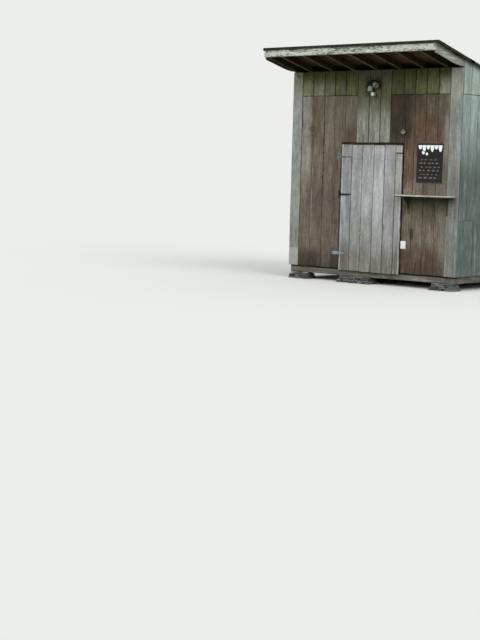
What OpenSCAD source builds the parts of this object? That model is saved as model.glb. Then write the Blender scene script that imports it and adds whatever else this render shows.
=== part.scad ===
// Wooden outhouse: a board-clad shed with a single-pitch roof that is high at
// the front, one ledged door on three T-hinges, a shelf and a few fittings.
// Millimetres. +X to the right of someone facing the door, -Y out of the front,
// Z = 0 on the ground, origin under the middle of the whole outline.

/* [Walls] */
// Width of the building over the boards
wall_w = 3050; // [2600:10:3600]
// Depth of the building over the boards
wall_d = 2400; // [1800:10:3200]
// Height of the front boards, from their lower ends to the rafters
front_h = 2950; // [2700:10:3200]
// Thickness of the wall boards
siding_t = 25; // [18:1:32]
// How far the lower boards of the front stand back from the upper ones
lower_inset = 6; // [2:1:10]
// Height of the joint between lower and upper boards above their lower ends
band_h = 2578; // [2350:1:2620]
// Width of the full-height board at the left corner
corner_left_w = 185; // [130:1:200]
// Width of the full-height board at the right corner
corner_right_w = 197; // [130:1:220]
// Width of the grey boards that run from the rafters down to the door
panel_w = 610; // [500:1:660]
// How far those boards start to the left of the middle of the front
panel_x = 295; // [250:1:390]

/* [Foundation] */
// Height of the dry stone piers
pier_h = 100; // [60:1:200]
// Width of a pile of stones at a corner
pier_w = 420; // [340:10:520]
// Depth of a pile of stones at a corner
pier_d = 300; // [240:10:400]
// Width of the wider pile under the doorway
step_w = 630; // [500:10:760]
// Depth of the wider pile under the doorway
step_d = 360; // [300:10:440]
// Distance of the middle of that pile from the side of the doorway
step_x = 336; // [250:1:450]
// Height of the sill timbers
sill_h = 140; // [120:1:180]
// Width of the sill timbers and of the square posts
post_w = 89; // [75:1:110]
// Heights of the girts above the lower ends of the boards, below the band
girt_z = [738, 1593]; // [600:1:1750]
// How far the boards lap down over the sill
siding_lap = 40; // [25:1:60]
// Thickness of the floor boards
floor_t = 25; // [18:1:32]
// Thickness of joists, rafters, girts and plates
lumber_t = 38; // [30:1:50]
// Number of floor joists between the side sills
joist_count = 6; // [4:1:8]

/* [Roof] */
// Pitch of the roof in degrees
roof_pitch = 13.7; // [8:0.1:18]
// Overhang in front of the door wall
front_eave = 711; // [500:1:800]
// Overhang behind the rear wall
rear_eave = 150; // [100:1:300]
// Depth of the rafters, square to the roof
rafter_h = 89; // [80:1:120]
// Distance from the middle of the front to the first inner rafter, on its left
rafter_x = 1215; // [1180:1:1320]
// Spacing of the inner rafters
rafter_step = 411; // [380:1:420]
// Number of inner rafters
rafter_count = 7; // [5:1:7]
// Thickness of the boards laid over the rafters
deck_t = 18; // [12:1:25]
// Thickness of the outer boards that carry the felt
sheath_t = 14; // [12:1:25]
// How far the outer boards stand out past the right side
right_lip = 58; // [20:1:80]
// How far the outer boards stand out past the left side
left_lip = 5; // [2:1:80]
// How far the outer boards stand out past the fascias
fascia_lip = 15; // [8:1:40]
// Thickness of the roofing felt
felt_t = 5; // [3:1:8]
// How far the felt hangs down below the outer boards
felt_drop = 27; // [5:1:40]
// Clearance between the layers of the roof
lay_gap = 0.1; // [0.05:0.05:0.5]
// Thickness of fascia and barge boards
fascia_t = 25; // [18:1:32]
// How far the barge boards hang down below the rafters
barge_drop = 30; // [10:1:60]

/* [Door] */
// How far the door starts to the left of the middle of the front
door_x = 545; // [510:1:610]
// Width of the door
door_w = 1100; // [950:1:1150]
// Height of the door
door_h = 1882; // [1780:1:1950]
// How far the door reaches below the wall boards
door_drop = 25; // [10:1:35]
// Thickness of the door boards
door_t = 25; // [18:1:32]
// How far the door stands proud of the wall
door_proud = 15; // [8:1:18]
// Gap beside the door
door_gap = 15; // [12:1:24]
// Gap above the door
door_top_gap = 28; // [15:1:40]
// Thickness of the ledges and braces on the back of the door
ledge_t = 25; // [18:1:32]
// Height of a ledge
ledge_h = 140; // [90:1:160]
// How far the ledges stop short of the edges of the door
ledge_inset = 50; // [45:1:90]
// How far posts and header reach in behind the door as stops
stop_w = 40; // [30:1:48]

/* [Hinges] */
// Heights of the three hinges above the lower end of the door, bottom first
hinge_z = [260, 1139, 1700]; // [150:1:1800]
// Widths of the wall leaves
leaf_w = [130, 42, 92]; // [30:1:140]
// Heights of the wall leaves
leaf_h = [44, 96, 104]; // [40:1:120]
// Lengths of the door straps
strap_len = [112, 196, 200]; // [90:1:260]
// Width of a strap at its knuckle
strap_w = 32; // [24:1:38]
// Width of a strap at its tip
strap_tip = 16; // [10:1:22]
// Thickness of the hinge plates
plate_t = 3; // [2:0.5:4]
// Outer radius of the knuckles
knuckle_r = 6; // [5:0.5:7]
// Radius of the hinge pins
pin_r = 3; // [2:0.5:4]
// Running clearance of a pin in the strap's knuckle
pin_fit = 0.05; // [0.02:0.01:0.1]
// Clearance between neighbouring knuckles
knuckle_gap = 0.5; // [0.3:0.1:1]

/* [Fittings] */
// Height of the shelf's top above the lower ends of the boards
shelf_z = 1140; // [900:1:1250]
// Depth of the shelf
shelf_d = 205; // [140:1:240]
// Thickness of the shelf
shelf_t = 28; // [18:1:38]
// Gap between the door and the end of the shelf
shelf_gap = 14; // [10:1:40]
// How far the shelf stops short of the right corner
shelf_short = 43; // [0:1:80]
// Height of the upright leg of a shelf bracket
bracket_h = 250; // [180:1:320]
// Width of a shelf bracket
bracket_w = 26; // [18:1:40]
// Thickness of the bracket steel
bracket_t = 5; // [3:1:8]
// How far a shelf bracket stops short of the shelf's front edge
bracket_short = 28; // [10:1:40]
// Distance of the left bracket from the shelf's left end
bracket_in = 118; // [60:1:180]
// Distance of the right bracket from the joint beside the right corner board
bracket_past = 20; // [15:1:60]
// Width of the sign board
sign_w = 450; // [300:1:500]
// Height of the sign board
sign_h = 563; // [400:1:620]
// Thickness of the sign board
sign_t = 14; // [8:1:20]
// Height of the sign's lower edge above the lower ends of the boards
sign_z = 1324; // [1200:1:1450]
// Gap between the sign and the right corner board
sign_gap = 73; // [20:1:120]
// Width of the outlet cover
outlet_w = 84; // [70:1:100]
// Height of the outlet cover
outlet_h = 116; // [100:1:130]
// Depth of the outlet cover
outlet_d = 30; // [15:1:50]
// Height of the outlet cover's lower edge above the lower ends of the boards
outlet_z = 356; // [250:1:600]
// Gap between the doorway and the outlet cover
outlet_gap = 10; // [4:1:60]
// Radius of the round peg above the door
peg_r = 36; // [15:1:45]
// Height of the peg above the top of the doorway
peg_up = 162; // [80:1:240]
// How far the middle of the peg stands in from the side of the doorway
peg_in = 19; // [0:1:60]
// Radius of the lamp's wall box
lamp_box_r = 52; // [40:1:60]
// Radius of the mouth of a lamp head
lamp_r = 42; // [35:1:46]
// Length of a lamp head
lamp_len = 85; // [75:1:95]
// Depth of the middle of the lamp's wall box below the rafters
lamp_z = 210; // [150:1:300]
// How far the lamp's wall box stands to the right of the middle of the panel
lamp_shift = 8; // [0:1:120]

/* [Hidden] */
$fn = 48;

// Heights
sill_top = pier_h + sill_h;
floor_top = sill_top + floor_t;
siding_z = sill_top - siding_lap;
soffit_z = siding_z + front_h;
band_z = siding_z + band_h;
door_z = siding_z - door_drop;
door_top = door_z + door_h;
opening_top = door_top + door_top_gap;

// Roof stack, measured straight up
slope = tan(roof_pitch);
rafter_v = rafter_h / cos(roof_pitch);
deck_v = deck_t / cos(roof_pitch);
sheath_v = sheath_t / cos(roof_pitch);
felt_v = felt_t / cos(roof_pitch);
stack_v = rafter_v + lay_gap + deck_v;
sheath_base = stack_v + lay_gap;
roof_front = -front_eave;
roof_back = wall_d + rear_eave;
felt_front = roof_front - fascia_lip - felt_t;
felt_back = roof_back + fascia_lip + felt_t;

// The frame's own corner in the part's frame
left_x = -(wall_w + right_lip - left_lip) / 2;
front_y = -(felt_front + felt_back) / 2;

// Doorway, placed from the middle of the front
door_left = wall_w / 2 - door_x;
panel_left = wall_w / 2 - panel_x;
opening_left = door_left - door_gap;
opening_right = door_left + door_w + door_gap;
panel_end = panel_left + panel_w;
right_corner = wall_w - corner_right_w;

// Frame of posts and girts, inside the boards
frame_l = siding_t;
frame_r = wall_w - siding_t;
frame_f = siding_t;
frame_b = wall_d - siding_t;
post_left_x = opening_left + stop_w - post_w;
post_right_x = opening_right - stop_w;
header_z = opening_top - stop_w;
plate_front_z = soffit_z - slope * frame_f;
plate_rear_z = soffit_z - slope * (frame_b - post_w);
girt_levels = [siding_z + girt_z[0], siding_z + girt_z[1]];

// Hinge line
pin_x = door_left - door_gap / 2;
pin_y = -door_proud - knuckle_r;

// Underside of the rafters at a distance y behind the front face
function soffit(y) = soffit_z - slope * y;

// Moves a shape from the corner of the walls to the part's own origin
module placed() {
  translate([left_x, front_y, 0])
    children();
}

// A block given by its lowest and highest corners
module block(low, high) {
  translate(low)
    cube(high - low);
}

// A profile in Y and Z, drawn out along X from x0 to x1
module along_x(x0, x1, profile) {
  translate([x0, 0, 0])
    rotate([90, 0, 90])
      linear_extrude(x1 - x0)
        polygon(profile);
}

// A layer that follows the roof, from y0 to y1, with upright ends
module roof_layer(x0, x1, y0, y1, base, thick) {
  along_x(x0, x1, [
    [y0, soffit(y0) + base],
    [y1, soffit(y1) + base],
    [y1, soffit(y1) + base + thick],
    [y0, soffit(y0) + base + thick]
  ]);
}

// Outline of a flat field stone, about w by d, different for each turn
function stone_outline(w, d, turn) = [
  for (i = [0:8])
    let (a = i * 40 + 14 * sin(97 * i + turn), r = 0.94 + 0.08 * sin(143 * i + 2 * turn))
      [w / 2 * r * cos(a) * (1 + 0.12 * pow(sin(2 * a), 2)),
       d / 2 * r * sin(a) * (1 + 0.12 * pow(sin(2 * a), 2))]
];

// A dry pile of flat stones that carries a sill at its centre
module pier(x, y, w, d, turn) {
  courses = [0, 0.38, 0.7, 1];
  for (i = [0:2])
    translate([x, y, pier_h * courses[i]])
      linear_extrude(pier_h * (courses[i + 1] - courses[i]))
        polygon(stone_outline(w * (1 - 0.09 * i), d * (1 - 0.07 * i), turn + 75 * i));
}

sill_mid = siding_t + post_w / 2;
pier_in = sill_mid + pier_w / 3;
// Turns of the stone outlines, so that no two piles are alike
front_turns = [10, 130, 250];
rear_turns = [60, 185, 320];

module front_piers() {
  color("slategray")
    placed() {
      pier(pier_in, sill_mid, pier_w, pier_d, front_turns[0]);
      pier(opening_left + step_x, sill_mid, step_w, step_d, front_turns[1]);
      pier(wall_w - pier_in, sill_mid, pier_w, pier_d, front_turns[2]);
    }
}

module rear_piers() {
  color("slategray")
    placed() {
      pier(pier_in, wall_d - sill_mid, pier_w, pier_d, rear_turns[0]);
      pier(wall_w / 2, wall_d - sill_mid, pier_w, pier_d, rear_turns[1]);
      pier(wall_w - pier_in, wall_d - sill_mid, pier_w, pier_d, rear_turns[2]);
    }
}

module front_rear_sills() {
  color("gray")
    placed() {
      block([frame_l, frame_f, pier_h], [frame_r, frame_f + post_w, sill_top]);
      block([frame_l, frame_b - post_w, pier_h], [frame_r, frame_b, sill_top]);
    }
}

module side_sills() {
  color("gray")
    placed() {
      block([frame_l, frame_f + post_w, pier_h], [frame_l + post_w, frame_b - post_w, sill_top]);
      block([frame_r - post_w, frame_f + post_w, pier_h], [frame_r, frame_b - post_w, sill_top]);
    }
}

module floor_joists() {
  span = frame_r - frame_l - 2 * post_w;
  color("peru")
    placed()
      for (i = [1:joist_count])
        translate([frame_l + post_w + span * i / (joist_count + 1) - lumber_t / 2, 0, 0])
          block([0, frame_f + post_w, pier_h], [lumber_t, frame_b - post_w, sill_top]);
}

module floor_boards() {
  color("burlywood")
    placed()
      block([frame_l, frame_f, sill_top], [frame_r, frame_b, floor_top]);
}

// An upright post from the floor to a given height
module post(x, y, top) {
  block([x, y, floor_top], [x + post_w, y + post_w, top]);
}

side_post_y = wall_d / 2 - post_w / 2;
rear_post_x = wall_w / 2 - post_w / 2;

module wall_posts() {
  front_top = plate_front_z - lumber_t;
  rear_top = plate_rear_z - lumber_t;
  side_top = soffit(side_post_y + post_w);
  color("peru")
    placed() {
      for (x = [frame_l, frame_r - post_w, post_left_x, post_right_x])
        post(x, frame_f, front_top);
      for (x = [frame_l, frame_r - post_w, rear_post_x])
        post(x, frame_b - post_w, rear_top);
      for (x = [frame_l, frame_r - post_w])
        post(x, side_post_y, side_top);
    }
}

module door_header() {
  color("peru")
    placed()
      block([post_left_x + post_w, frame_f, header_z],
            [post_right_x, frame_f + post_w, header_z + post_w]);
}

module top_plates() {
  color("peru")
    placed() {
      block([frame_l, frame_f, plate_front_z - lumber_t],
            [frame_r, frame_f + post_w, plate_front_z]);
      block([frame_l, frame_b - post_w, plate_rear_z - lumber_t],
            [frame_r, frame_b, plate_rear_z]);
    }
}

// A girt along X at height z, with its face against the boards at y
module girt_x(x0, x1, y, z) {
  block([x0, y, z - post_w / 2], [x1, y + lumber_t, z + post_w / 2]);
}

module front_girts() {
  color("peru")
    placed() {
      for (z = concat(girt_levels, [band_z])) {
        girt_x(frame_l + post_w, post_left_x, frame_f, z);
        girt_x(post_right_x + post_w, frame_r - post_w, frame_f, z);
      }
      girt_x(post_left_x + post_w, post_right_x, frame_f, band_z);
    }
}

module side_girts() {
  color("peru")
    placed()
      for (x = [frame_l, frame_r - lumber_t])
        for (z = girt_levels) {
          block([x, frame_f + post_w, z - post_w / 2],
                [x + lumber_t, side_post_y, z + post_w / 2]);
          block([x, side_post_y + post_w, z - post_w / 2],
                [x + lumber_t, frame_b - post_w, z + post_w / 2]);
        }
}

module rear_girts() {
  color("peru")
    placed()
      for (z = girt_levels) {
        girt_x(frame_l + post_w, rear_post_x, frame_b - lumber_t, z);
        girt_x(rear_post_x + post_w, frame_r - post_w, frame_b - lumber_t, z);
      }
}

// A run of front boards, from x0 to x1 and z0 to z1
module front_run(x0, x1, z0, z1, inset) {
  block([x0, inset, z0], [x1, siding_t, z1]);
}

module corner_board_left() {
  color("darkgray")
    placed()
      front_run(0, corner_left_w, siding_z, plate_front_z, 0);
}

module corner_board_right() {
  color("darkgray")
    placed()
      front_run(right_corner, wall_w, siding_z, plate_front_z, 0);
}

module front_boards_left() {
  color("dimgray")
    placed()
      front_run(corner_left_w, opening_left, siding_z, band_z, lower_inset);
}

module front_boards_right() {
  color("saddlebrown")
    placed()
      front_run(opening_right, right_corner, siding_z, band_z, lower_inset);
}

module over_door_left() {
  color("dimgray")
    placed()
      front_run(opening_left, panel_left, opening_top, band_z, lower_inset);
}

module over_door_right() {
  color("saddlebrown")
    placed()
      front_run(panel_end, opening_right, opening_top, band_z, lower_inset);
}

module upper_boards_left() {
  color("darkolivegreen")
    placed()
      front_run(corner_left_w, panel_left, band_z, plate_front_z, 0);
}

module upper_boards_right() {
  color("darkolivegreen")
    placed()
      front_run(panel_end, right_corner, band_z, plate_front_z, 0);
}

module centre_panel() {
  color("gray")
    placed()
      front_run(panel_left, panel_end, opening_top, plate_front_z, 0);
}

// Boards of a side wall, up to the underside of the outer roof boards
module side_boards(x0) {
  along_x(x0, x0 + siding_t, [
    [frame_f, siding_z],
    [frame_b, siding_z],
    [frame_b, soffit(frame_b) + stack_v],
    [frame_f, soffit(frame_f) + stack_v]
  ]);
}

module left_wall_boards() {
  color("lightslategray")
    placed()
      side_boards(0);
}

module right_wall_boards() {
  color("lightslategray")
    placed()
      side_boards(wall_w - siding_t);
}

module rear_wall_boards() {
  color("dimgray")
    placed()
      block([0, frame_b, siding_z], [wall_w, wall_d, soffit(wall_d)]);
}

// A rafter with a seat cut over each plate
module rafter(x) {
  y0 = roof_front + fascia_t;
  y1 = roof_back - fascia_t;
  front_in = frame_f + post_w;
  rear_in = frame_b - post_w;
  along_x(x, x + lumber_t, [
    [y0, soffit(y0)],
    [frame_f, plate_front_z],
    [front_in, plate_front_z],
    [front_in, soffit(front_in)],
    [rear_in, plate_rear_z],
    [frame_b, plate_rear_z],
    [frame_b, soffit(frame_b)],
    [y1, soffit(y1)],
    [y1, soffit(y1) + rafter_v],
    [y0, soffit(y0) + rafter_v]
  ]);
}

// Left sides of the inner rafters that stand clear of the two end ones
inner_rafters = [
  for (i = [0:rafter_count - 1])
    let (x = wall_w / 2 - rafter_x + i * rafter_step - lumber_t / 2)
      if (x > frame_l + lumber_t && x + lumber_t < frame_r - lumber_t)
        x
];

module rafters() {
  color("saddlebrown")
    placed()
      for (x = concat([frame_l, frame_r - lumber_t], inner_rafters))
        rafter(x);
}

module roof_boards() {
  color("sienna")
    placed()
      roof_layer(frame_l, frame_r, roof_front + fascia_t, roof_back - fascia_t,
                 rafter_v + lay_gap, deck_v);
}

// The outer boards, or a deeper block with the same top when deeper is above 0
module sheath_shape(deeper) {
  roof_layer(-left_lip, wall_w + right_lip, roof_front - fascia_lip,
             roof_back + fascia_lip, sheath_base - deeper, sheath_v + deeper);
}

module roof_sheathing() {
  color("sienna")
    placed()
      sheath_shape(0);
}

module roof_felt() {
  color("darkslategray")
    placed()
      difference() {
        roof_layer(-left_lip - felt_t, wall_w + right_lip + felt_t, felt_front,
                   felt_back, sheath_base - felt_drop, felt_drop + sheath_v + felt_v);
        sheath_shape(sheath_v + felt_drop);
      }
}

module front_fascia() {
  color("silver")
    placed()
      roof_layer(0, wall_w, roof_front, roof_front + fascia_t, 0, stack_v);
}

module rear_fascia() {
  color("silver")
    placed()
      roof_layer(0, wall_w, roof_back - fascia_t, roof_back, 0, stack_v);
}

// Roundness of the bend where a barge board's lower edge levels out
barge_ease = 14;

// Lower edge of a barge board: along the roof, then level where it meets the wall
function barge_edge(y) =
  soffit_z + barge_ease * ln(1 + exp((-slope * y - barge_drop) / barge_ease));

module barge(x0) {
  y0 = roof_front + fascia_t;
  y1 = 0;
  steps = 16;
  lower = [
    for (i = [0:steps])
      let (y = y0 + (y1 - y0) * i / steps)
        [y, barge_edge(y)]
  ];
  along_x(x0, x0 + fascia_t, concat(lower, [
    [frame_f, soffit_z],
    [frame_f, soffit(frame_f) + stack_v],
    [y0, soffit(y0) + stack_v]
  ]));
  roof_layer(x0, x0 + fascia_t, frame_b, roof_back - fascia_t, 0, stack_v);
}

module barge_left() {
  color("darkgray")
    placed()
      barge(0);
}

module barge_right() {
  color("darkgray")
    placed()
      barge(wall_w - fascia_t);
}

shelf_l = door_left + door_w + shelf_gap;
shelf_r = wall_w - shelf_short;
shelf_top = siding_z + shelf_z;

module shelf() {
  color("tan")
    placed()
      block([shelf_l, -shelf_d, shelf_top - shelf_t], [shelf_r, 0, shelf_top]);
}

// A steel angle bracket with a curved web, seen from the side
module bracket(x, y_seat) {
  reach = shelf_d - bracket_short;
  top = shelf_top - shelf_t;
  translate([x - bracket_w / 2, 0, 0]) {
    block([0, y_seat - bracket_t, top - bracket_h], [bracket_w, y_seat, top]);
    block([0, -reach, top - bracket_t], [bracket_w, y_seat - bracket_t, top]);
    translate([(bracket_w - bracket_t) / 2, y_seat - bracket_t, top - bracket_t])
      rotate([90, 0, 90])
        linear_extrude(bracket_t)
          difference() {
            polygon([[0, 0], [-reach * 0.8, 0], [0, -bracket_h * 0.75]]);
            translate([-reach * 0.95, -bracket_h * 0.8])
              scale([reach * 0.83, bracket_h * 0.68])
                circle(1);
          }
  }
}

module shelf_brackets() {
  color("dimgray")
    placed() {
      bracket(shelf_l + bracket_in, lower_inset);
      bracket(right_corner + bracket_past, 0);
    }
}

sign_x = right_corner - sign_gap - sign_w;

module sign_board() {
  color("black")
    placed()
      block([sign_x, lower_inset - sign_t, siding_z + sign_z],
            [sign_x + sign_w, lower_inset, siding_z + sign_z + sign_h]);
}

module outlet_cover() {
  color("white")
    placed()
      translate([opening_right + outlet_gap, lower_inset, siding_z + outlet_z])
        rotate([90, 0, 0])
          linear_extrude(outlet_d)
            offset(8)
              offset(-8)
                square([outlet_w, outlet_h]);
}

module wall_peg() {
  color("linen")
    placed()
      translate([opening_right - peg_in, lower_inset, opening_top + peg_up])
        rotate([90, 0, 0])
          rotate_extrude()
            polygon([[0, 0], [peg_r * 0.5, 0], [peg_r * 0.45, peg_r * 0.25],
                     [peg_r, peg_r * 0.4], [peg_r, peg_r * 0.65],
                     [peg_r * 0.7, peg_r * 0.9], [0, peg_r]]);
}

lamp_x = panel_left + panel_w / 2 + lamp_shift;
lamp_h = soffit_z - lamp_z;
lamp_box_d = 34;
arm_r = 9;
arm_len = 24;
// Arms of the two lamp heads, to the right of and above the middle of the box
lamp_arms = [[-34, -24], [22, -8]];
// Pan and downward tilt of the two lamp heads
lamp_aim = [[-20, 74], [78, 30]];

module lamp_box() {
  color("dimgray")
    placed()
      translate([lamp_x, 0, lamp_h])
        rotate([90, 0, 0])
          cylinder(h = lamp_box_d, r = lamp_box_r);
}

// A cup-shaped lamp head on its arm, with a ball joint between them
module lamp_head(arm, aim) {
  translate([lamp_x + arm[0], -lamp_box_d, lamp_h + arm[1]])
    rotate([90, 0, 0]) {
      cylinder(h = arm_len, r = arm_r);
      translate([0, 0, arm_len])
        sphere(arm_r * 1.4);
      translate([0, 0, arm_len])
        rotate([aim[1], aim[0], 0])
          rotate_extrude()
            polygon([
              [0, 0], [lamp_r * 0.45, arm_r], [lamp_r * 0.52, lamp_len * 0.25],
              [lamp_r, lamp_len * 0.36], [lamp_r, lamp_len], [0, lamp_len]
            ]);
    }
}

module lamp_heads() {
  color("darkgray")
    placed()
      for (i = [0, 1])
        lamp_head(lamp_arms[i], lamp_aim[i]);
}

sensor_w = 52;
sensor_drop = 95;
sensor_x = 12;
rod_r = arm_r * 0.6;

// The movement sensor hangs from the box on a cranked rod
module lamp_sensor() {
  color("gainsboro")
    placed()
      translate([lamp_x + sensor_x, -lamp_box_d, lamp_h - lamp_box_r * 0.6]) {
        rotate([90, 0, 0])
          cylinder(h = arm_len + rod_r, r = rod_r);
        translate([0, -arm_len, -sensor_drop])
          cylinder(h = sensor_drop + rod_r, r = rod_r);
        translate([-sensor_w / 2, -arm_len - sensor_w / 2, -sensor_drop - sensor_w])
          cube([sensor_w, sensor_w, sensor_w]);
      }
}

// One hinge level: height of its middle
function hinge_mid(i) = door_z + hinge_z[i];

// Wall leaf with its joggle out to the pin. Its knuckles lie above and below
// that of the strap, and the pin is fast in them.
module hinge_leaf(i) {
  h = leaf_h[i];
  bend_x = pin_x - knuckle_r - door_proud;
  notch = strap_w / 2 + knuckle_gap;
  translate([0, 0, hinge_mid(i)]) {
    difference() {
      union() {
        translate([0, 0, -h / 2])
          linear_extrude(h)
            polygon([
              [pin_x - leaf_w[i], lower_inset],
              [pin_x - leaf_w[i], lower_inset - plate_t],
              [bend_x, lower_inset - plate_t],
              [pin_x - knuckle_r, pin_y - plate_t / 2],
              [pin_x, pin_y - plate_t / 2],
              [pin_x, pin_y + plate_t / 2],
              [pin_x - knuckle_r, pin_y + plate_t],
              [bend_x + plate_t, lower_inset]
            ]);
        translate([pin_x, pin_y, -h / 2])
          cylinder(h = h, r = knuckle_r);
      }
      block([pin_x - knuckle_r - knuckle_gap, pin_y - 2 * knuckle_r, -notch],
            [pin_x + 2 * knuckle_r, pin_y + 2 * knuckle_r, notch]);
    }
    translate([pin_x, pin_y, -h / 2])
      cylinder(h = h, r = pin_r);
  }
}

module hinge_leaves() {
  color("gray")
    placed()
      for (i = [0:2])
        hinge_leaf(i);
}

module door_panel() {
  color("darkgray")
    placed()
      block([door_left, -door_proud, door_z],
            [door_left + door_w, door_t - door_proud, door_top]);
}

ledge_l = door_left + ledge_inset;
ledge_r = door_left + door_w - ledge_inset;
ledge_y = door_t - door_proud;

module door_ledges() {
  color("tan")
    placed()
      for (i = [0:2])
        block([ledge_l, ledge_y, hinge_mid(i) - ledge_h / 2],
              [ledge_r, ledge_y + ledge_t, hinge_mid(i) + ledge_h / 2]);
}

module door_braces() {
  color("tan")
    placed()
      for (i = [0:1])
        translate([0, ledge_y + ledge_t, 0])
          rotate([90, 0, 0])
            linear_extrude(ledge_t)
              polygon([
                [ledge_l, hinge_mid(i) + ledge_h / 2],
                [ledge_l + ledge_h, hinge_mid(i) + ledge_h / 2],
                [ledge_r, hinge_mid(i + 1) - ledge_h / 2],
                [ledge_r - ledge_h, hinge_mid(i + 1) - ledge_h / 2]
              ]);
}

// Tapered door strap, with the middle knuckle bored for the pin
module hinge_strap(i) {
  translate([0, 0, hinge_mid(i)])
    difference() {
      union() {
        translate([0, -door_proud, 0])
          rotate([90, 0, 0])
            linear_extrude(plate_t)
              polygon([
                [pin_x, strap_w / 2],
                [pin_x, -strap_w / 2],
                [pin_x + strap_len[i], -strap_tip / 2],
                [pin_x + strap_len[i], strap_tip / 2]
              ]);
        translate([pin_x, pin_y, -strap_w / 2])
          cylinder(h = strap_w, r = knuckle_r);
      }
      translate([pin_x, pin_y, -strap_w])
        cylinder(h = 2 * strap_w, r = pin_r + pin_fit);
    }
}

module hinge_straps() {
  color("gray")
    placed()
      for (i = [0:2])
        hinge_strap(i);
}

front_piers();
rear_piers();
front_rear_sills();
side_sills();
floor_joists();
floor_boards();
wall_posts();
door_header();
top_plates();
front_girts();
side_girts();
rear_girts();
corner_board_left();
corner_board_right();
front_boards_left();
front_boards_right();
over_door_left();
over_door_right();
upper_boards_left();
upper_boards_right();
centre_panel();
left_wall_boards();
right_wall_boards();
rear_wall_boards();
rafters();
roof_boards();
roof_sheathing();
roof_felt();
front_fascia();
rear_fascia();
barge_left();
barge_right();
shelf();
shelf_brackets();
sign_board();
outlet_cover();
wall_peg();
lamp_box();
lamp_heads();
lamp_sensor();
hinge_leaves();
door_panel();
door_ledges();
door_braces();
hinge_straps();
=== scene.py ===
"""Dresses the wooden outhouse: its boards, roofing, door, hinges and fittings.

Sizes are in metres. Wall places are measured from the lower left corner of the
front boards: x to the right, y into the building and z up.
"""

import logging
import math
import random
from collections.abc import Callable
from dataclasses import dataclass, field
from enum import Enum

import bmesh
import bpy
from mathutils import Matrix, Vector, noise


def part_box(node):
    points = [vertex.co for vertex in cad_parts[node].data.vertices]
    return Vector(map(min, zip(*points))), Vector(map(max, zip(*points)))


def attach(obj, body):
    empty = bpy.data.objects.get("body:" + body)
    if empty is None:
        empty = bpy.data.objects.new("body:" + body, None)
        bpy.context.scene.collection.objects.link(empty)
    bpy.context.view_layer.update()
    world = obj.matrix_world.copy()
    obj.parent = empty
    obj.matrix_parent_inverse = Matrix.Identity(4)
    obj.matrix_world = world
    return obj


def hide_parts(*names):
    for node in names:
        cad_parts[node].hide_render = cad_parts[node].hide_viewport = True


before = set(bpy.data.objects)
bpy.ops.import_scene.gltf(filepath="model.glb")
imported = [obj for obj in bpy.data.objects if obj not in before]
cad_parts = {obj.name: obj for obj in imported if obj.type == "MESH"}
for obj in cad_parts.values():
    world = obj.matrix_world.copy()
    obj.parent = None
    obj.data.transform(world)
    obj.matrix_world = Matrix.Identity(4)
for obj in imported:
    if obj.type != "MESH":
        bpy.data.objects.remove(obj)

LOG = logging.getLogger("outhouse")
BOARD = "board"
NOISE_SEED = 7
PITCH = math.radians(13.7)
SLOPE = math.tan(PITCH)
UP = Vector((0.0, 0.0, 1.0))
FRONT = Vector((0.0, -1.0, 0.0))
REAR = Vector((0.0, 1.0, 0.0))
LEFT = Vector((-1.0, 0.0, 0.0))
RIGHT = Vector((1.0, 0.0, 0.0))
ROOF_UP = Vector((0.0, math.sin(PITCH), math.cos(PITCH)))
ROOF_BACK = Vector((0.0, math.cos(PITCH), -math.sin(PITCH)))
Part = bmesh.types.BMesh
Socket = bpy.types.NodeSocket
# An input of a node takes a socket or a plain value
Level = Socket | float
Tint = Socket | str


class Body(Enum):
    """The two rigid bodies of the building."""

    BUILDING = "building"
    DOOR = "door"


class Grain(Enum):
    """The way that the grain of a piece runs."""

    UPRIGHT = 2
    ACROSS = 0
    DEEP = 1


def corner() -> Vector:
    """Gives the lower left corner of the front boards."""
    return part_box("corner_board_left")[0]


def wall(x: float, y: float, z: float) -> Vector:
    """Turns a wall place into a point of the frame.

    Args:
        x: Distance to the right of the left corner.
        y: Distance behind the face of the front boards.
        z: Height above the lower ends of the front boards.

    Returns:
        The point in the frame.
    """
    return corner() + Vector((x, y, z))


def soffit(y: float) -> float:
    """Gives the height of the rafters' underside.

    Args:
        y: Place from front to rear, in the frame.

    Returns:
        The height in the frame.
    """
    low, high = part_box("front_fascia")
    return low.z - SLOPE * (y - high.y)


# Materials


def linear(colour: str) -> tuple[float, float, float, float]:
    """Turns an sRGB hex colour into linear values.

    Args:
        colour: The colour as six hex digits after a hash sign.

    Returns:
        Red, green, blue and alpha, linear.
    """
    parts = [int(colour[i : i + 2], 16) / 255 for i in (1, 3, 5)]
    red, green, blue = (p / 12.92 if p <= 0.04045 else ((p + 0.055) / 1.055) ** 2.4 for p in parts)
    return (red, green, blue, 1.0)


def add_node(tree: bpy.types.NodeTree, kind: str, links: dict[str | int, object] | None = None,
             **settings: object) -> bpy.types.Node:
    """Adds a node with its settings and links.

    Args:
        tree: The node tree that it goes into.
        kind: The node's type name.
        links: Values or sockets for its inputs, by name or number.
        **settings: Properties of the node.

    Returns:
        The new node.
    """
    node = tree.nodes.new(kind)
    for key, value in settings.items():
        setattr(node, key, value)
    for key, value in (links or {}).items():
        if isinstance(value, Socket):
            tree.links.new(value, node.inputs[key])
        else:
            node.inputs[key].default_value = value
    return node


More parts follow.
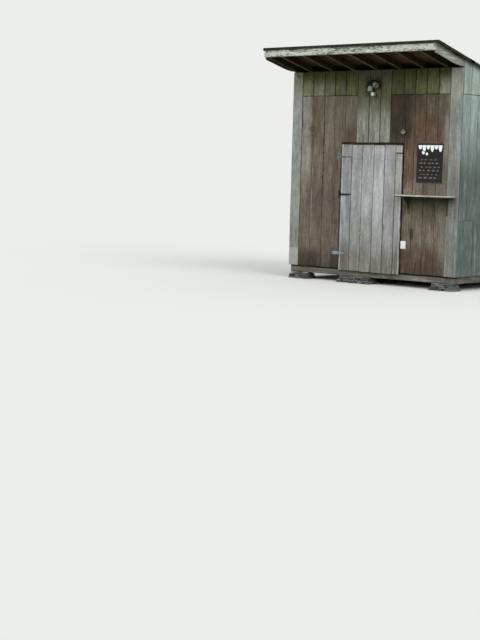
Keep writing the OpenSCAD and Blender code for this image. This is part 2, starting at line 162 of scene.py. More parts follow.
class Palette:
    """A material in the making, with the steps that every finish shares."""

    def __init__(self, name: str) -> None:
        """Starts an empty material.

        Args:
            name: The name of the real material and how it was made.
        """
        self.material = bpy.data.materials.new(name)
        self.material.use_nodes = True
        self.tree = self.material.node_tree
        self.tree.nodes.clear()
        self.place = add_node(self.tree, "ShaderNodeTexCoord").outputs["Object"]
        self.height = self.axis(self.place, "Z")

    def axis(self, vector: Socket, name: str) -> Socket:
        """Gives one component of a vector."""
        return add_node(self.tree, "ShaderNodeSeparateXYZ", {0: vector}).outputs[name]

    def marks(self) -> Socket:
        """Gives the tone, rim and seed that a mesh carries for each board."""
        return add_node(self.tree, "ShaderNodeAttribute", attribute_name=BOARD,
                        attribute_type="GEOMETRY").outputs["Vector"]

    def noise(self, size: tuple[float, float, float], detail: float = 4.0, rough: float = 0.6,
              shift: float = 0.0, place: Socket | None = None, turn: float = 0.0) -> Socket:
        """Makes a noise pattern with features of a real size.

        Args:
            size: Size of a feature along X, Y and Z.
            detail: How many finer layers it has.
            rough: How strong those layers are.
            shift: An offset that makes it differ from its likes.
            place: The coordinates, or None for the object's own.
            turn: Turn about X, for a piece that slopes with the roof.

        Returns:
            The pattern, mostly from 0.25 to 0.75.
        """
        spot = add_node(self.tree, "ShaderNodeMapping", {
            "Vector": place or self.place,
            "Location": (shift, shift * 0.7, shift * 1.3),
            "Rotation": (turn, 0.0, 0.0),
            "Scale": tuple(1.0 / s for s in size),
        }, vector_type="POINT").outputs[0]
        return add_node(self.tree, "ShaderNodeTexNoise", {
            "Vector": spot, "Scale": 1.0, "Detail": detail, "Roughness": rough,
        }).outputs[0]

    def ramp(self, value: Socket, start: float, end: float,
             low: float = 0.0, high: float = 1.0) -> Socket:
        """Eases a value from low at start to high at end."""
        return add_node(self.tree, "ShaderNodeMapRange", {
            0: value, 1: start, 2: end, 3: low, 4: high,
        }, interpolation_type="SMOOTHSTEP").outputs[0]

    def band(self, value: Socket, low: float, high: float, soft: float) -> Socket:
        """Gives 1 between low and high and 0 beyond them, with soft ends."""
        above = self.ramp(value, low - soft, low + soft)
        return self.sum("MULTIPLY", above, self.ramp(value, high + soft, high - soft))

    def sum(self, operation: str, first: Level, second: Level) -> Socket:
        """Works out one step of arithmetic."""
        return add_node(self.tree, "ShaderNodeMath", {0: first, 1: second}, operation=operation).outputs[0]

    def blend(self, under: Tint, over: Tint, amount: Level) -> Socket:
        """Lays one colour over another.

        Args:
            under: A colour socket, or a hex colour.
            over: A colour socket, or a hex colour.
            amount: How much of the upper colour shows, 0 to 1.

        Returns:
            The colour that results.
        """
        under, over = (linear(c) if isinstance(c, str) else c for c in (under, over))
        return add_node(self.tree, "ShaderNodeMix", {0: amount, 6: under, 7: over}, data_type="RGBA").outputs[2]

    def scale(self, colour: Socket, factor: Level) -> Socket:
        """Makes a colour lighter or darker by a factor."""
        return add_node(self.tree, "ShaderNodeVectorMath", {0: colour, 3: factor}, operation="SCALE").outputs[0]

    def finish(self, colour: Tint, rough: Level, height: Socket | None = None, depth: float = 0.001,
               **plain: Level) -> bpy.types.Material:
        """Closes the material with its shader.

        Args:
            colour: A colour socket, or a hex colour.
            rough: Roughness, a socket or a number.
            height: The pattern that stands out of the surface.
            depth: How far it stands out.
            **plain: Other inputs of the shader, with _ for a space.

        Returns:
            The finished material.
        """
        links = {"Base Color": linear(colour) if isinstance(colour, str) else colour, "Roughness": rough}
        if height is not None:
            links["Normal"] = add_node(self.tree, "ShaderNodeBump", {
                "Strength": 1.0, "Distance": depth, "Height": height,
            }).outputs[0]
        for key, value in plain.items():
            links[key.replace("_", " ")] = value
        shader = add_node(self.tree, "ShaderNodeBsdfPrincipled", links)
        add_node(self.tree, "ShaderNodeOutputMaterial", {0: shader.outputs[0]})
        return self.material


@dataclass(frozen=True)
class Stain:
    """A tint between two wall heights, broken up by blotches.

    A span keeps it between two places along the front, measured from its left
    corner. The size is that of a blotch along X, Y and Z.
    """

    colour: str
    low: float
    high: float
    strength: float
    soft: float = 0.25
    size: tuple[float, float, float] = (0.12, 0.12, 0.7)
    cover: float = 0.5
    span: tuple[float, float] | None = None
    edge: float = 0.05


@dataclass(frozen=True)
class SawnWood:
    """Rough sawn softwood that sun and rain have weathered.

    It gives the eye short streaks along the grain, clouds and dark flecks, a
    tone of its own for each board, and no gloss.
    """

    name: str
    pale: str
    deep: str
    line: str
    grain: Grain = Grain.UPRIGHT
    streak: float = 0.020
    run: float = 0.32
    contrast: float = 0.9
    vein: float = 0.14
    cloud: float = 0.12
    lines: float = 0.45
    flecks: float = 0.45
    tone: float = 0.3
    seam: float = 0.75
    fade: float = 0.3
    knots: float = 0.5
    patch: float = 0.35
    turn: float = 0.0
    depth: float = 0.0016
    stains: tuple[Stain, ...] = ()
    paint: str = ""
    worn: float = 0.5

    def stretch(self, thin: float, long: float) -> tuple[float, float, float]:
        """Gives the size of a feature that lies along the grain."""
        return tuple(long if i == self.grain.value else thin for i in range(3))

    def stained(self, kit: Palette, colour: Socket) -> Socket:
        """Lays the stains over the wood.

        Args:
            kit: The material in the making.
            colour: The colour so far.

        Returns:
            The colour with its stains.
        """
        start = corner()
        height = kit.sum("SUBTRACT", kit.height, start.z)
        for number, stain in enumerate(self.stains):
            amount = kit.band(height, stain.low, stain.high, stain.soft)
            if stain.span:
                side = kit.sum("SUBTRACT", kit.axis(kit.place, "X"), start.x)
                amount = kit.sum("MULTIPLY", amount, kit.band(side, *stain.span, stain.edge))
            blotch = kit.noise(stain.size, shift=3.1 + 1.7 * number, detail=3.0)
            middle = 0.75 - 0.5 * stain.cover
            amount = kit.sum("MULTIPLY", amount, kit.ramp(blotch, middle - 0.12, middle + 0.12, 0.0, stain.strength))
            colour = kit.blend(colour, stain.colour, amount)
        return colour

    def build(self) -> bpy.types.Material:
        """Builds the material.

        Returns:
            The finished material.
        """
        kit = Palette(self.name)
        marks = kit.marks()
        tone, rim, seed = (kit.axis(marks, n) for n in "XYZ")
        # Each board is cut from another place in the log
        shift = add_node(kit.tree, "ShaderNodeVectorMath", {0: (37.0, 23.0, 17.0), 3: seed}, operation="SCALE")
        place = add_node(kit.tree, "ShaderNodeVectorMath", {0: kit.place, 1: shift.outputs[0]},
                         operation="ADD").outputs[0]
        # Each feature has its width across the grain and its length along it, in metres
        streaks = kit.noise(self.stretch(self.streak, self.run), 6.0, 0.70, 0.3, place, self.turn)
        veins = kit.noise(self.stretch(0.015, 0.11), 4.0, 0.65, 2.9, place, self.turn)
        clouds = kit.noise(self.stretch(0.04, 0.055), 4.0, 0.6, 6.7, place, self.turn)
        broad = kit.noise(self.stretch(0.09, 0.38), 3.0, 0.5, 5.2, place, self.turn)
        # True grain is under 2 mm and would not show, so it is drawn 6 mm wide
        fine = kit.noise(self.stretch(0.006, 0.22), 3.0, 0.6, 8.4, place, self.turn)
        cracks = kit.noise(self.stretch(0.012, 0.075), 2.0, 0.5, 1.7, place, self.turn)
        colour = kit.blend(self.pale, self.deep,
                           kit.sum("MULTIPLY", kit.ramp(streaks, 0.36, 0.64), self.contrast))
        colour = kit.blend(colour, self.line, kit.ramp(fine, 0.5, 0.8, 0.0, self.lines))
        colour = kit.blend(colour, self.line, kit.ramp(cracks, 0.66, 0.76, 0.0, self.flecks))
        colour = self.stained(kit, colour)
        level = kit.sum("ADD", kit.sum("MULTIPLY", tone, self.tone),
                        kit.ramp(broad, 0.3, 0.7, 1.0 - self.patch / 2, 1.0 + self.patch / 2))
        colour = kit.scale(colour, level)
        colour = kit.scale(colour, kit.ramp(veins, 0.32, 0.68, 1.0 + self.vein, 1.0 - self.vein))
        colour = kit.scale(colour, kit.ramp(clouds, 0.32, 0.68, 1.0 - self.cloud, 1.0 + self.cloud))
        height = kit.sum("ADD", kit.sum("MULTIPLY", streaks, 0.6), fine)
        if self.knots:
            # Knots come every 0.2 m or so across the boards and every 0.8 m along them
            spot = add_node(kit.tree, "ShaderNodeMapping", {
                "Vector": place,
                "Location": (0.4, 0.2, 0.7),
                "Scale": tuple(1.0 / s for s in self.stretch(0.21, 0.8)),
            }).outputs[0]
            cell = add_node(kit.tree, "ShaderNodeTexVoronoi", {"Vector": spot, "Scale": 1.0}).outputs["Distance"]
            colour = kit.blend(colour, self.line, kit.ramp(cell, 0.11, 0.03, 0.0, self.knots))
        if self.paint:
            # Paint lasts in flakes, with bare grey wood between them
            flakes = kit.noise(self.stretch(0.013, 0.070), 5.0, 0.65, 2.2)
            zones = kit.noise(self.stretch(0.06, 0.30), 3.0, 0.5, 6.6)
            left = kit.ramp(kit.sum("ADD", flakes, kit.sum("MULTIPLY", kit.sum("SUBTRACT", zones, 0.5), 0.45)),
                            self.worn + 0.06, self.worn - 0.06)
            colour = kit.blend(colour, self.paint, left)
            height = kit.sum("ADD", height, kit.sum("MULTIPLY", left, 0.6))
        # A joint is open in some stretches and nearly closed in others
        open_joint = kit.ramp(kit.noise(self.stretch(0.08, 0.16), 4.0, 0.65, 9.3), 0.40, 0.58,
                              self.seam * (1.0 - self.fade), self.seam)
        colour = kit.blend(colour, self.line, kit.sum("MULTIPLY", kit.sum("MULTIPLY", rim, rim), open_joint))
        return kit.finish(colour, kit.ramp(fine, 0.3, 0.7, 0.82, 0.95), height, self.depth,
                          IOR=1.45, Specular_IOR_Level=0.3)


@dataclass(frozen=True)
class FieldStone:
    """Split field stone: matt, flat faced, with dark joints and paler faces on top."""

    name: str
    pale: str
    deep: str
    moss: str

    def build(self) -> bpy.types.Material:
        """Builds the material.

        Returns:
            The finished material.
        """
        kit = Palette(self.name)
        tone = kit.axis(kit.marks(), "X")
        # The stone splits into layers of about 12 mm, and its pits are about 20 mm wide
        layers = kit.noise((0.12, 0.12, 0.012), 5.0, 0.6)
        spots = kit.noise((0.02, 0.02, 0.02), 5.0, 0.7, 4.0)
        colour = kit.blend(self.deep, self.pale, kit.ramp(layers, 0.35, 0.68))
        colour = kit.blend(colour, self.moss, kit.ramp(spots, 0.58, 0.7, 0.0, 0.35))
        # Faces that look up are paler
        face = add_node(kit.tree, "ShaderNodeNewGeometry").outputs["Normal"]
        colour = kit.blend(colour, self.pale, kit.ramp(kit.axis(face, "Z"), 0.4, 0.9, 0.0, 0.7))
        colour = kit.scale(colour, kit.ramp(tone, -1.0, 1.0, 0.55, 1.45))
        return kit.finish(colour, 0.9, kit.sum("ADD", layers, kit.sum("MULTIPLY", spots, 0.4)), 0.006,
                          IOR=1.5, Specular_IOR_Level=0.3)


@dataclass(frozen=True)
class RollFelt:
    """Mineral roofing felt: black grit, worn edges and green growth in patches."""

    name: str
    grit: str
    dust: str
    moss: str
    cover: float

    def build(self) -> bpy.types.Material:
        """Builds the material.

        Returns:
            The finished material.
        """
        kit = Palette(self.name)
        # The grit is about 1 mm and is drawn at 4 mm so that it shows
        grains = kit.noise((0.004, 0.004, 0.004), 2.0, 0.7)
        # The green grows in patches of a hand or two, made up of clumps of 30 mm
        patches = kit.noise((0.22, 0.3, 0.3), 6.0, 0.65, 3.3)
        clumps = kit.noise((0.03, 0.03, 0.03), 5.0, 0.7, 7.7)
        colour = kit.blend(self.grit, self.dust, kit.ramp(grains, 0.4, 0.75, 0.0, 0.8))
        growth = kit.sum("ADD", kit.sum("MULTIPLY", patches, 0.6), kit.sum("MULTIPLY", clumps, 0.4))
        amount = kit.ramp(growth, 0.62 - 0.2 * self.cover, 0.72 - 0.2 * self.cover)
        colour = kit.blend(colour, self.moss, kit.sum("MULTIPLY", amount, 0.85))
        return kit.finish(colour, 0.93, kit.sum("ADD", grains, amount), 0.002, Specular_IOR_Level=0.25)


@dataclass(frozen=True)
class Steel:
    """Sheet steel, zinc coated or painted, with rust where the coat has failed.

    It gives the eye a dull mottled coat, and brown patches without any sheen.
    """

    name: str
    coat: str
    shade: str
    rust: str
    rusted: float
    metallic: float = 0.6
    rough: float = 0.55
    bite: float = 1.0
    gloss: float = 0.5

    def coated(self, kit: Palette) -> Socket:
        """Mottles the coat, which on zinc shows crystals of about 12 mm."""
        crystals = add_node(kit.tree, "ShaderNodeTexVoronoi", {"Vector": kit.place, "Scale": 1.0 / 0.0125})
        mottle = kit.ramp(kit.axis(crystals.outputs["Color"], "X"), 0.2, 0.9)
        return kit.blend(self.coat, self.shade, mottle)

    def build(self) -> bpy.types.Material:
        """Builds the material.

        Returns:
            The finished material.
        """
        kit = Palette(self.name)
        spread = kit.noise((0.03, 0.03, 0.03), 6.0, 0.68, 1.9)
        amount = kit.ramp(spread, 0.72 - 0.45 * self.rusted, 0.80 - 0.45 * self.rusted)
        colour = kit.blend(self.coated(kit), self.rust, kit.sum("MULTIPLY", amount, self.bite))
        rough = kit.ramp(amount, 0.0, 1.0, self.rough, 0.92)
        metal = kit.ramp(amount, 0.0, 1.0, self.metallic, 0.0)
        return kit.finish(colour, rough, spread, 0.0006, Metallic=metal, Specular_IOR_Level=self.gloss)


@dataclass(frozen=True)
class HingeSteel(Steel):
    """Hinge steel: pale zinc at the foot of the door, black paint on the middle hinge, dull green above.

    The middle hinge lies between the low and the high place, heights in the
    frame.
    """

    black: str = "#030303"
    green: str = "#667069"
    low: float = 1.20
    high: float = 1.45

    def coated(self, kit: Palette) -> Socket:
        """Lays black paint over the middle hinge and dulls the upper one.

        Args:
            kit: The material in the making.

        Returns:
            The colour of the coat.
        """
        zinc = super().coated(kit)
        zinc = kit.blend(zinc, self.green, kit.ramp(kit.height, self.high, self.high + 0.01))
        middle = kit.sum("MULTIPLY", kit.ramp(kit.height, self.low, self.low + 0.01),
                         kit.ramp(kit.height, self.high, self.high - 0.01))
        return kit.blend(zinc, self.black, middle)


@dataclass(frozen=True)
class Coat:
    """A smooth man-made surface, such as moulded plastic, enamel or brushed paint.

    It gives the eye an even colour with faint dirt in it and a soft sheen.
    """

    name: str
    colour: str
    dirt: str
    soiled: float = 0.3
    rough: float = 0.4
    grain: float = 0.0
    gloss: float = 0.5

    def build(self) -> bpy.types.Material:
        """Builds the material.

        Returns:
            The finished material.
        """
        kit = Palette(self.name)
        # Dirt lies in smears of 30 mm, and a brush leaves strokes of 4 mm
        smears = kit.noise((0.03, 0.03, 0.07), 5.0, 0.65, 2.7)
        brush = kit.noise((0.004, 0.004, 0.12), 3.0, 0.6, 6.1)
        colour = kit.blend(self.colour, self.dirt, kit.ramp(smears, 0.45, 0.75, 0.0, self.soiled))
        height = kit.sum("ADD", kit.sum("MULTIPLY", smears, 0.2), kit.sum("MULTIPLY", brush, self.grain))
        rough = kit.ramp(smears, 0.3, 0.7, self.rough, min(1.0, self.rough + 0.15))
        return kit.finish(colour, rough, height, 0.0008, IOR=1.5, Specular_IOR_Level=self.gloss)


# Silvered boards, with algae under the eave and a bleached foot
CORNER_WOOD = SawnWood(
    "silvered_corner_softwood", "#959993", "#7d7f79", "#3d3c37", tone=0.2, fade=0.7, contrast=0.8, patch=0.2,
    cloud=0.10, stains=(
        Stain("#7f8264", 2.66, 3.1, 0.75, 0.14, cover=0.9, span=(0.0, 0.185)),
        Stain("#6b6f69", 0.0, 0.62, 0.6, 0.20, (0.05, 0.05, 0.3), 0.85, (0.0, 0.185)),
        Stain("#a3a59f", -0.2, 0.27, 0.62, 0.01, cover=0.95, span=(0.0, 0.185)),
        Stain("#5d5f58", -0.3, 1.55, 0.60, 0.25, (0.06, 0.06, 0.9), 0.75, (2.853, 3.06)),
        Stain("#6f746c", 1.50, 2.50, 0.35, 0.25, (0.05, 0.05, 0.3), 0.7, (2.853, 3.06)),
        Stain("#a9a596", 2.50, 3.1, 0.6, 0.1, (0.06, 0.06, 0.4), 0.8, (2.853, 3.06)),
        Stain("#6b5f52", -0.1, 1.4, 0.35, 0.3, (0.04, 0.04, 0.4), 0.35),
        Stain("#25211a", 2.862, 2.892, 0.9, 0.01, (0.05, 0.05, 0.05), 1.0, (0.085, 0.125), edge=0.01),
    ))
# Grey-brown boards, darker and damp towards the foot
LEFT_WOOD = SawnWood(
    "browned_siding_softwood", "#7a7064", "#574e43", "#29231c", seam=0.7, fade=0.7, stains=(
        Stain("#94928a", 1.05, 3.1, 0.62, 0.3, (0.04, 0.04, 0.4), 0.72, (0.185, 0.36), edge=0.04),
        Stain("#646052", 1.90, 3.1, 0.65, 0.3, (0.10, 0.10, 0.4), 0.8, (0.60, 1.23), edge=0.1),
        Stain("#58473a", 1.75, 2.48, 0.6, 0.15, (0.05, 0.05, 0.3), 0.7, (0.34, 0.56), edge=0.05),
        Stain("#2f241c", 1.97, 2.13, 0.8, 0.02, (0.06, 0.06, 0.014), 0.42, (0.33, 0.52), edge=0.03),
        Stain("#4a382c", 1.85, 2.12, 0.6, 0.08, (0.05, 0.05, 0.1), 0.75, (1.02, 1.23), edge=0.05),
        Stain("#51483f", 0.8, 1.35, 0.65, 0.30, (0.06, 0.06, 0.4), 0.85),
        Stain("#5d5449", -0.3, 0.9, 0.50, 0.30, (0.06, 0.06, 0.4), 0.8),
        Stain("#2f2822", -0.3, 0.20, 0.60, 0.20, (0.08, 0.08, 0.3), 0.75),
        Stain("#2c241d", -0.3, 0.24, 0.65, 0.10, (0.08, 0.08, 0.3), 0.95, (0.17, 0.60)),
        Stain("#2c241d", -0.3, 0.20, 0.55, 0.12, (0.08, 0.08, 0.3), 0.95, (0.81, 0.98)),
        Stain("#a29c8c", 0.5, 1.2, 0.6, 0.15, (0.02, 0.02, 0.6), 0.6, (0.395, 0.415), edge=0.008),
        Stain("#1e1914", 1.20, 2.15, 0.70, 0.10, (0.05, 0.05, 0.06), 0.5, (0.598, 0.632), edge=0.008),
        # Painted shadow of the gap beside the door
        Stain("#2a241e", 0.30, 1.78, 0.60, 0.08, (0.05, 0.05, 0.25), 0.8, (0.945, 0.975), edge=0.006),
        # A black patch round the middle hinge
        Stain("#070504", 1.055, 1.172, 0.97, 0.008, (0.05, 0.05, 0.05), 1.0, (0.920, 0.975), edge=0.006),
    ))
# Red-brown boards, darker towards the eave, with painted shadow under the shelf
RIGHT_WOOD = SawnWood(
    "red_brown_siding_softwood", "#766d61", "#4d4338", "#201912", seam=0.6, fade=0.7, stains=(
        Stain("#7d7a6e", -0.3, 1.6, 0.5, 0.2, (0.06, 0.06, 0.5), 0.7, (2.76, 2.87), edge=0.03),
        Stain("#8a857a", 1.6, 3.1, 0.7, 0.2, (0.06, 0.06, 0.5), 0.8, (2.78, 2.87), edge=0.03),
        Stain("#2a2114", 1.85, 3.1, 0.85, 0.2, (0.15, 0.15, 0.6), 0.9, (1.80, 2.24), edge=0.08),
        Stain("#433e2a", 2.25, 3.1, 0.62, 0.12, (0.06, 0.06, 0.3), 0.75, (2.24, 2.84), edge=0.05),
        Stain("#3b3722", 2.20, 3.1, 0.50, 0.10, (0.06, 0.06, 0.3), 0.8, (2.20, 2.44), edge=0.04),
        Stain("#59544b", 1.32, 2.10, 0.35, 0.10, (0.03, 0.03, 0.2), 0.75, (2.66, 2.84), edge=0.03),
        Stain("#3f382f", -0.3, 0.11, 0.45, 0.06, (0.05, 0.05, 0.1), 0.8, (2.66, 2.84), edge=0.03),
        Stain("#575346", 2.20, 3.1, 0.55, 0.10, (0.05, 0.05, 0.3), 0.8, (2.64, 2.86), edge=0.03),
        Stain("#5c584f", 1.12, 1.62, 0.65, 0.10, (0.05, 0.05, 0.3), 0.85, (2.60, 2.86), edge=0.05),
        Stain("#503929", 1.88, 2.28, 0.75, 0.10, (0.04, 0.04, 0.3), 0.78, (2.24, 2.74), edge=0.04),
        Stain("#5a3f30", 1.22, 1.95, 0.7, 0.15, (0.03, 0.03, 0.3), 0.75, (2.105, 2.30), edge=0.03),
        Stain("#857d6f", 1.10, 1.36, 0.40, 0.06, (0.04, 0.04, 0.10), 0.5, (2.105, 2.36), edge=0.05),
        Stain("#575044", 1.10, 1.30, 0.55, 0.06, (0.05, 0.05, 0.2), 0.8, (2.36, 2.64), edge=0.05),
        Stain("#7d7361", 0.72, 1.10, 0.6, 0.05, (0.03, 0.03, 0.2), 0.5, (2.14, 2.24), edge=0.02),
        # Painted shadow under the shelf
        Stain("#33321f", 0.80, 1.11, 0.60, 0.07, (0.06, 0.06, 0.2), 0.75, (2.40, 2.68)),
        Stain("#38371f", 0.90, 1.11, 0.65, 0.06, (0.06, 0.06, 0.2), 0.8, (2.12, 2.85)),
        Stain("#5c5a48", 0.75, 1.10, 0.4, 0.10, (0.05, 0.05, 0.2), 0.6),
        Stain("#827c6c", 0.42, 0.70, 0.25, 0.10, (0.03, 0.03, 0.3), 0.65, (2.12, 2.86)),
        Stain("#4d392c", -0.3, 0.40, 0.75, 0.12, (0.05, 0.05, 0.3), 0.75, (2.0, 2.72), edge=0.08),
        Stain("#32271e", -0.3, 0.20, 0.55, 0.15, (0.06, 0.06, 0.2), 0.7),
        Stain("#4a443b", -0.3, 0.22, 0.60, 0.10, (0.06, 0.06, 0.2), 0.9, (2.62, 2.86), edge=0.05),
        Stain("#4a241c", 0.86, 1.02, 0.35, 0.05, (0.03, 0.03, 0.2), 0.7, (2.105, 2.18), edge=0.02),
        Stain("#2e2117", 0.50, 0.66, 0.8, 0.03, (0.02, 0.02, 0.05), 0.75, (2.24, 2.31), edge=0.02),
    ))
# Short olive boards with algae, in the shade of the eave
UPPER_WOOD = SawnWood(
    "algae_green_softwood", "#666546", "#4d4b2e", "#1e1c0c", seam=0.85, stains=(
        Stain("#888a72", 2.5, 2.80, 0.6, 0.1, (0.10, 0.10, 0.2), 0.7, (0.18, 0.62)),
        Stain("#757662", 2.5, 2.76, 0.5, 0.08, (0.10, 0.10, 0.2), 0.7, (0.62, 1.02)),
        Stain("#97968a", 2.5, 2.82, 0.65, 0.1, (0.10, 0.10, 0.2), 0.8, (2.68, 2.87)),
        Stain("#38331f", 2.5, 3.10, 0.5, 0.1, (0.10, 0.10, 0.2), 0.7, (1.84, 2.26)),
        Stain("#403b14", 2.80, 3.1, 0.76, 0.12, (0.12, 0.12, 0.2), 0.85),
    ))
# Grey boards over the door, darker at the top with dirt and painted eave shade, and with painted shadow and dirt round
# the lamp
PANEL_WOOD = SawnWood(
    "grey_panel_softwood", "#929287", "#6e6e63", "#36342a", tone=0.2, stains=(
        # Dirt and painted eave shade at the top
        Stain("#454126", 2.36, 3.1, 0.85, 0.24, (0.15, 0.15, 0.4), 0.9),
        Stain("#302a15", 2.80, 3.1, 0.22, 0.10, (0.15, 0.15, 0.4), 0.9),
        # Painted shadow and dirt round the lamp
        Stain("#23290f", 2.56, 2.70, 0.7, 0.03, (0.03, 0.03, 0.06), 0.7, (1.36, 1.47), edge=0.02),
        Stain("#15130a", 2.68, 2.84, 0.75, 0.04, (0.03, 0.03, 0.04), 0.75, (1.36, 1.66), edge=0.04),
        Stain("#0b0904", 2.70, 2.79, 0.95, 0.015, (0.03, 0.03, 0.04), 0.9, (1.40, 1.65), edge=0.03),
    ))
# Blue-grey boards with pale lichen, darker towards the foot
SIDE_WOOD = SawnWood(
    "lichen_grey_softwood", "#a9b7b2", "#86948f", "#39433f", streak=0.014, run=0.45, tone=0.12, contrast=0.85,
    vein=0.10, cloud=0.07, lines=0.35, flecks=0.3, seam=0.5, fade=0.8, knots=0.25, stains=(
        Stain("#aebbb3", 2.56, 3.4, 0.5, 0.06, (0.03, 0.03, 0.08), 0.6),
        Stain("#434d46", -0.3, 1.82, 0.75, 0.5, (0.10, 0.09, 0.6), 0.85),
        Stain("#87867c", -0.3, 0.9, 0.3, 0.3, (0.05, 0.05, 0.4), 0.4),
    ))
# The same wood with less lichen and open joints
HATCH_WOOD = SawnWood(
    "patched_grey_softwood", "#8c9993", "#6d7a74", "#1d2421", streak=0.014, run=0.45, contrast=0.85, cloud=0.07,
    tone=0.0, seam=1.0, fade=0.3, stains=(Stain("#434d46", -0.3, 1.90, 0.6, 0.5, (0.10, 0.09, 0.6), 0.8),))
# Plain grey-brown boards, a little green at the foot
REAR_WOOD = SawnWood(
    "grey_siding_softwood", "#827f76", "#5d584e", "#2f2b25", tone=0.25, fade=0.6, stains=(
        Stain("#5f6450", -0.2, 0.6, 0.5, 0.3, (0.2, 0.2, 0.4), 0.5),
    ))
# Silver-grey boards with fine dark lines, muddy at the foot
DOOR_WOOD = SawnWood(
    "silver_door_softwood", "#9fa1a0", "#868887", "#454548", tone=0.2, contrast=0.7, vein=0.08, cloud=0.10,
    lines=0.35, flecks=0.35, knots=0.6, fade=0.6, stains=(
        Stain("#6f685f", -0.3, 0.40, 0.72, 0.25, (0.025, 0.025, 0.25), 0.78),
        Stain("#b2b1aa", -0.3, 0.45, 0.40, 0.15, (0.012, 0.012, 0.10), 0.14),
        Stain("#908e81", 1.815, 2.2, 0.75, 0.012, (0.03, 0.03, 0.03), 0.85),
        Stain("#7d7c70", 1.68, 2.2, 0.5, 0.10, (0.03, 0.03, 0.2), 0.7, (0.975, 1.12), edge=0.02),
        Stain("#babdbc", 0.85, 1.45, 0.4, 0.2, (0.03, 0.03, 0.3), 0.6, (1.33, 1.76), edge=0.03),
        Stain("#4f483f", -0.3, 0.30, 0.5, 0.20, (0.04, 0.04, 0.2), 0.6, (0.97, 1.12)),
        Stain("#4f483f", -0.3, 0.24, 0.5, 0.20, (0.03, 0.03, 0.2), 0.6, (1.56, 2.09)),
        Stain("#7f7e7b", 0.35, 0.75, 0.45, 0.15, (0.03, 0.03, 0.3), 0.75, (1.16, 1.76)),
        Stain("#8f8b7f", 0.98, 2.2, 0.5, 0.10, (0.03, 0.03, 0.2), 0.6, (1.97, 2.09), edge=0.03),
        Stain("#6b6f5d", 0.98, 1.22, 0.6, 0.08, (0.05, 0.05, 0.12), 0.7, (1.98, 2.09), edge=0.03),
        Stain("#bcbdb0", 1.740, 2.2, 0.5, 0.004, (0.04, 0.04, 0.08), 0.8, (1.97, 2.09), edge=0.01),
        Stain("#bcbdb9", -0.3, 2.0, 0.75, 0.1, (0.02, 0.02, 0.3), 0.85, (0.975, 1.003), edge=0.006),
        # A black band along the middle strap
        Stain("#141517", 1.098, 1.128, 0.92, 0.003, (0.05, 0.05, 0.05), 1.0, (0.97, 1.135), edge=0.006),
        Stain("#bcbdb9", -0.3, 2.0, 0.55, 0.1, (0.02, 0.02, 0.3), 0.75, (2.060, 2.083), edge=0.006),
    ))
# Dark brown boards that only see light from below
ROOF_WOOD = SawnWood(
    "dark_soffit_softwood", "#463214", "#2f220b", "#0c0904", Grain.ACROSS, tone=0.3, seam=0.9, stains=(
        Stain("#5d4029", -9.0, 9.0, 0.75, 0.1, (0.2, 0.2, 0.2), 0.7, (1.8, 2.7), edge=0.2),))
# Dark rafters, with painted light on their lower edges
RAFTER_WOOD = SawnWood(
    "dark_rafter_softwood", "#402f19", "#2c200e", "#0c0904", Grain.DEEP, tone=0.25, turn=-PITCH)
RAFTER_LIT_EDGE_WOOD = SawnWood(
    "painted_light_rafter_edge_softwood", "#75695a", "#4c4136", "#1c1610", Grain.DEEP, tone=0.4, turn=-PITCH)
# White paint in flakes on bare grey wood
FASCIA_WOOD = SawnWood(
    "flaking_fascia_softwood", "#74776b", "#555a4e", "#2c2b26", Grain.ACROSS, tone=0.1, paint="#c3c8bc",
    worn=0.522, knots=0.0)
# Barge boards, bleached outside; inside and underneath a darker copy, unweathered wood with painted shade
BARGE_WOOD = SawnWood(
    "pale_barge_softwood", "#b2b5ab", "#8e9186", "#4d4c44", Grain.DEEP, tone=0.15, turn=-PITCH, knots=0.3)
BARGE_SHADED_BACK_WOOD = SawnWood(
    "shaded_barge_back_softwood", "#453a2c", "#31281d", "#0c0906", Grain.DEEP, tone=0.15, turn=-PITCH, knots=0.3)
# A pale plank with painted light on its top and upper edges, and painted shade on its underside
SHELF_LIT_WOOD = SawnWood(
    "lit_pale_shelf_softwood", "#ece9dc", "#cdcabc", "#7b766a", Grain.ACROSS, tone=0.15, contrast=0.7)
SHELF_SHADE_WOOD = SawnWood(
    "shaded_shelf_underside_softwood", "#3b342b", "#28231c", "#12100c", Grain.ACROSS, tone=0.15)
# Grey squared sills, streaked along the grain
SILL_WOOD = SawnWood(
    "weathered_sill_softwood", "#706e64", "#4c4a42", "#211e19", Grain.ACROSS, tone=0.25, stains=(
        Stain("#948e84", -0.3, -0.02, 0.4, 0.01, (0.3, 0.1, 0.03), 0.7, (2.0, 2.6), edge=0.1),
        # Painted shadow under the ends of the boards
        Stain("#120d09", -0.021, 0.1, 0.95, 0.004, (0.3, 0.1, 0.1), 1.0),
    ))
SIDE_SILL_WOOD = SawnWood(
    "weathered_side_sill_softwood", "#6d6b62", "#4a4840", "#211e19", Grain.DEEP, tone=0.25)
# Framing that stays dry, brown and knotty
POST_WOOD = SawnWood(
    "brown_post_softwood", "#857158", "#65533f", "#33281d", tone=0.2, knots=0.8, stains=(
        # Painted shade darkens the posts of the doorway, where they show in the gaps round the door
        Stain("#2a231c", -0.3, 3.2, 0.95, 0.05, (0.5, 0.5, 0.5), 1.0, (0.90, 1.07), edge=0.01),
        Stain("#1d1610", -0.3, 3.2, 0.95, 0.05, (0.5, 0.5, 0.5), 1.0, (1.99, 2.15), edge=0.01),
    ))
BEAM_WOOD = SawnWood(
    "brown_beam_softwood", "#826e56", "#62503c", "#33281d", Grain.ACROSS, tone=0.2, knots=0.8)
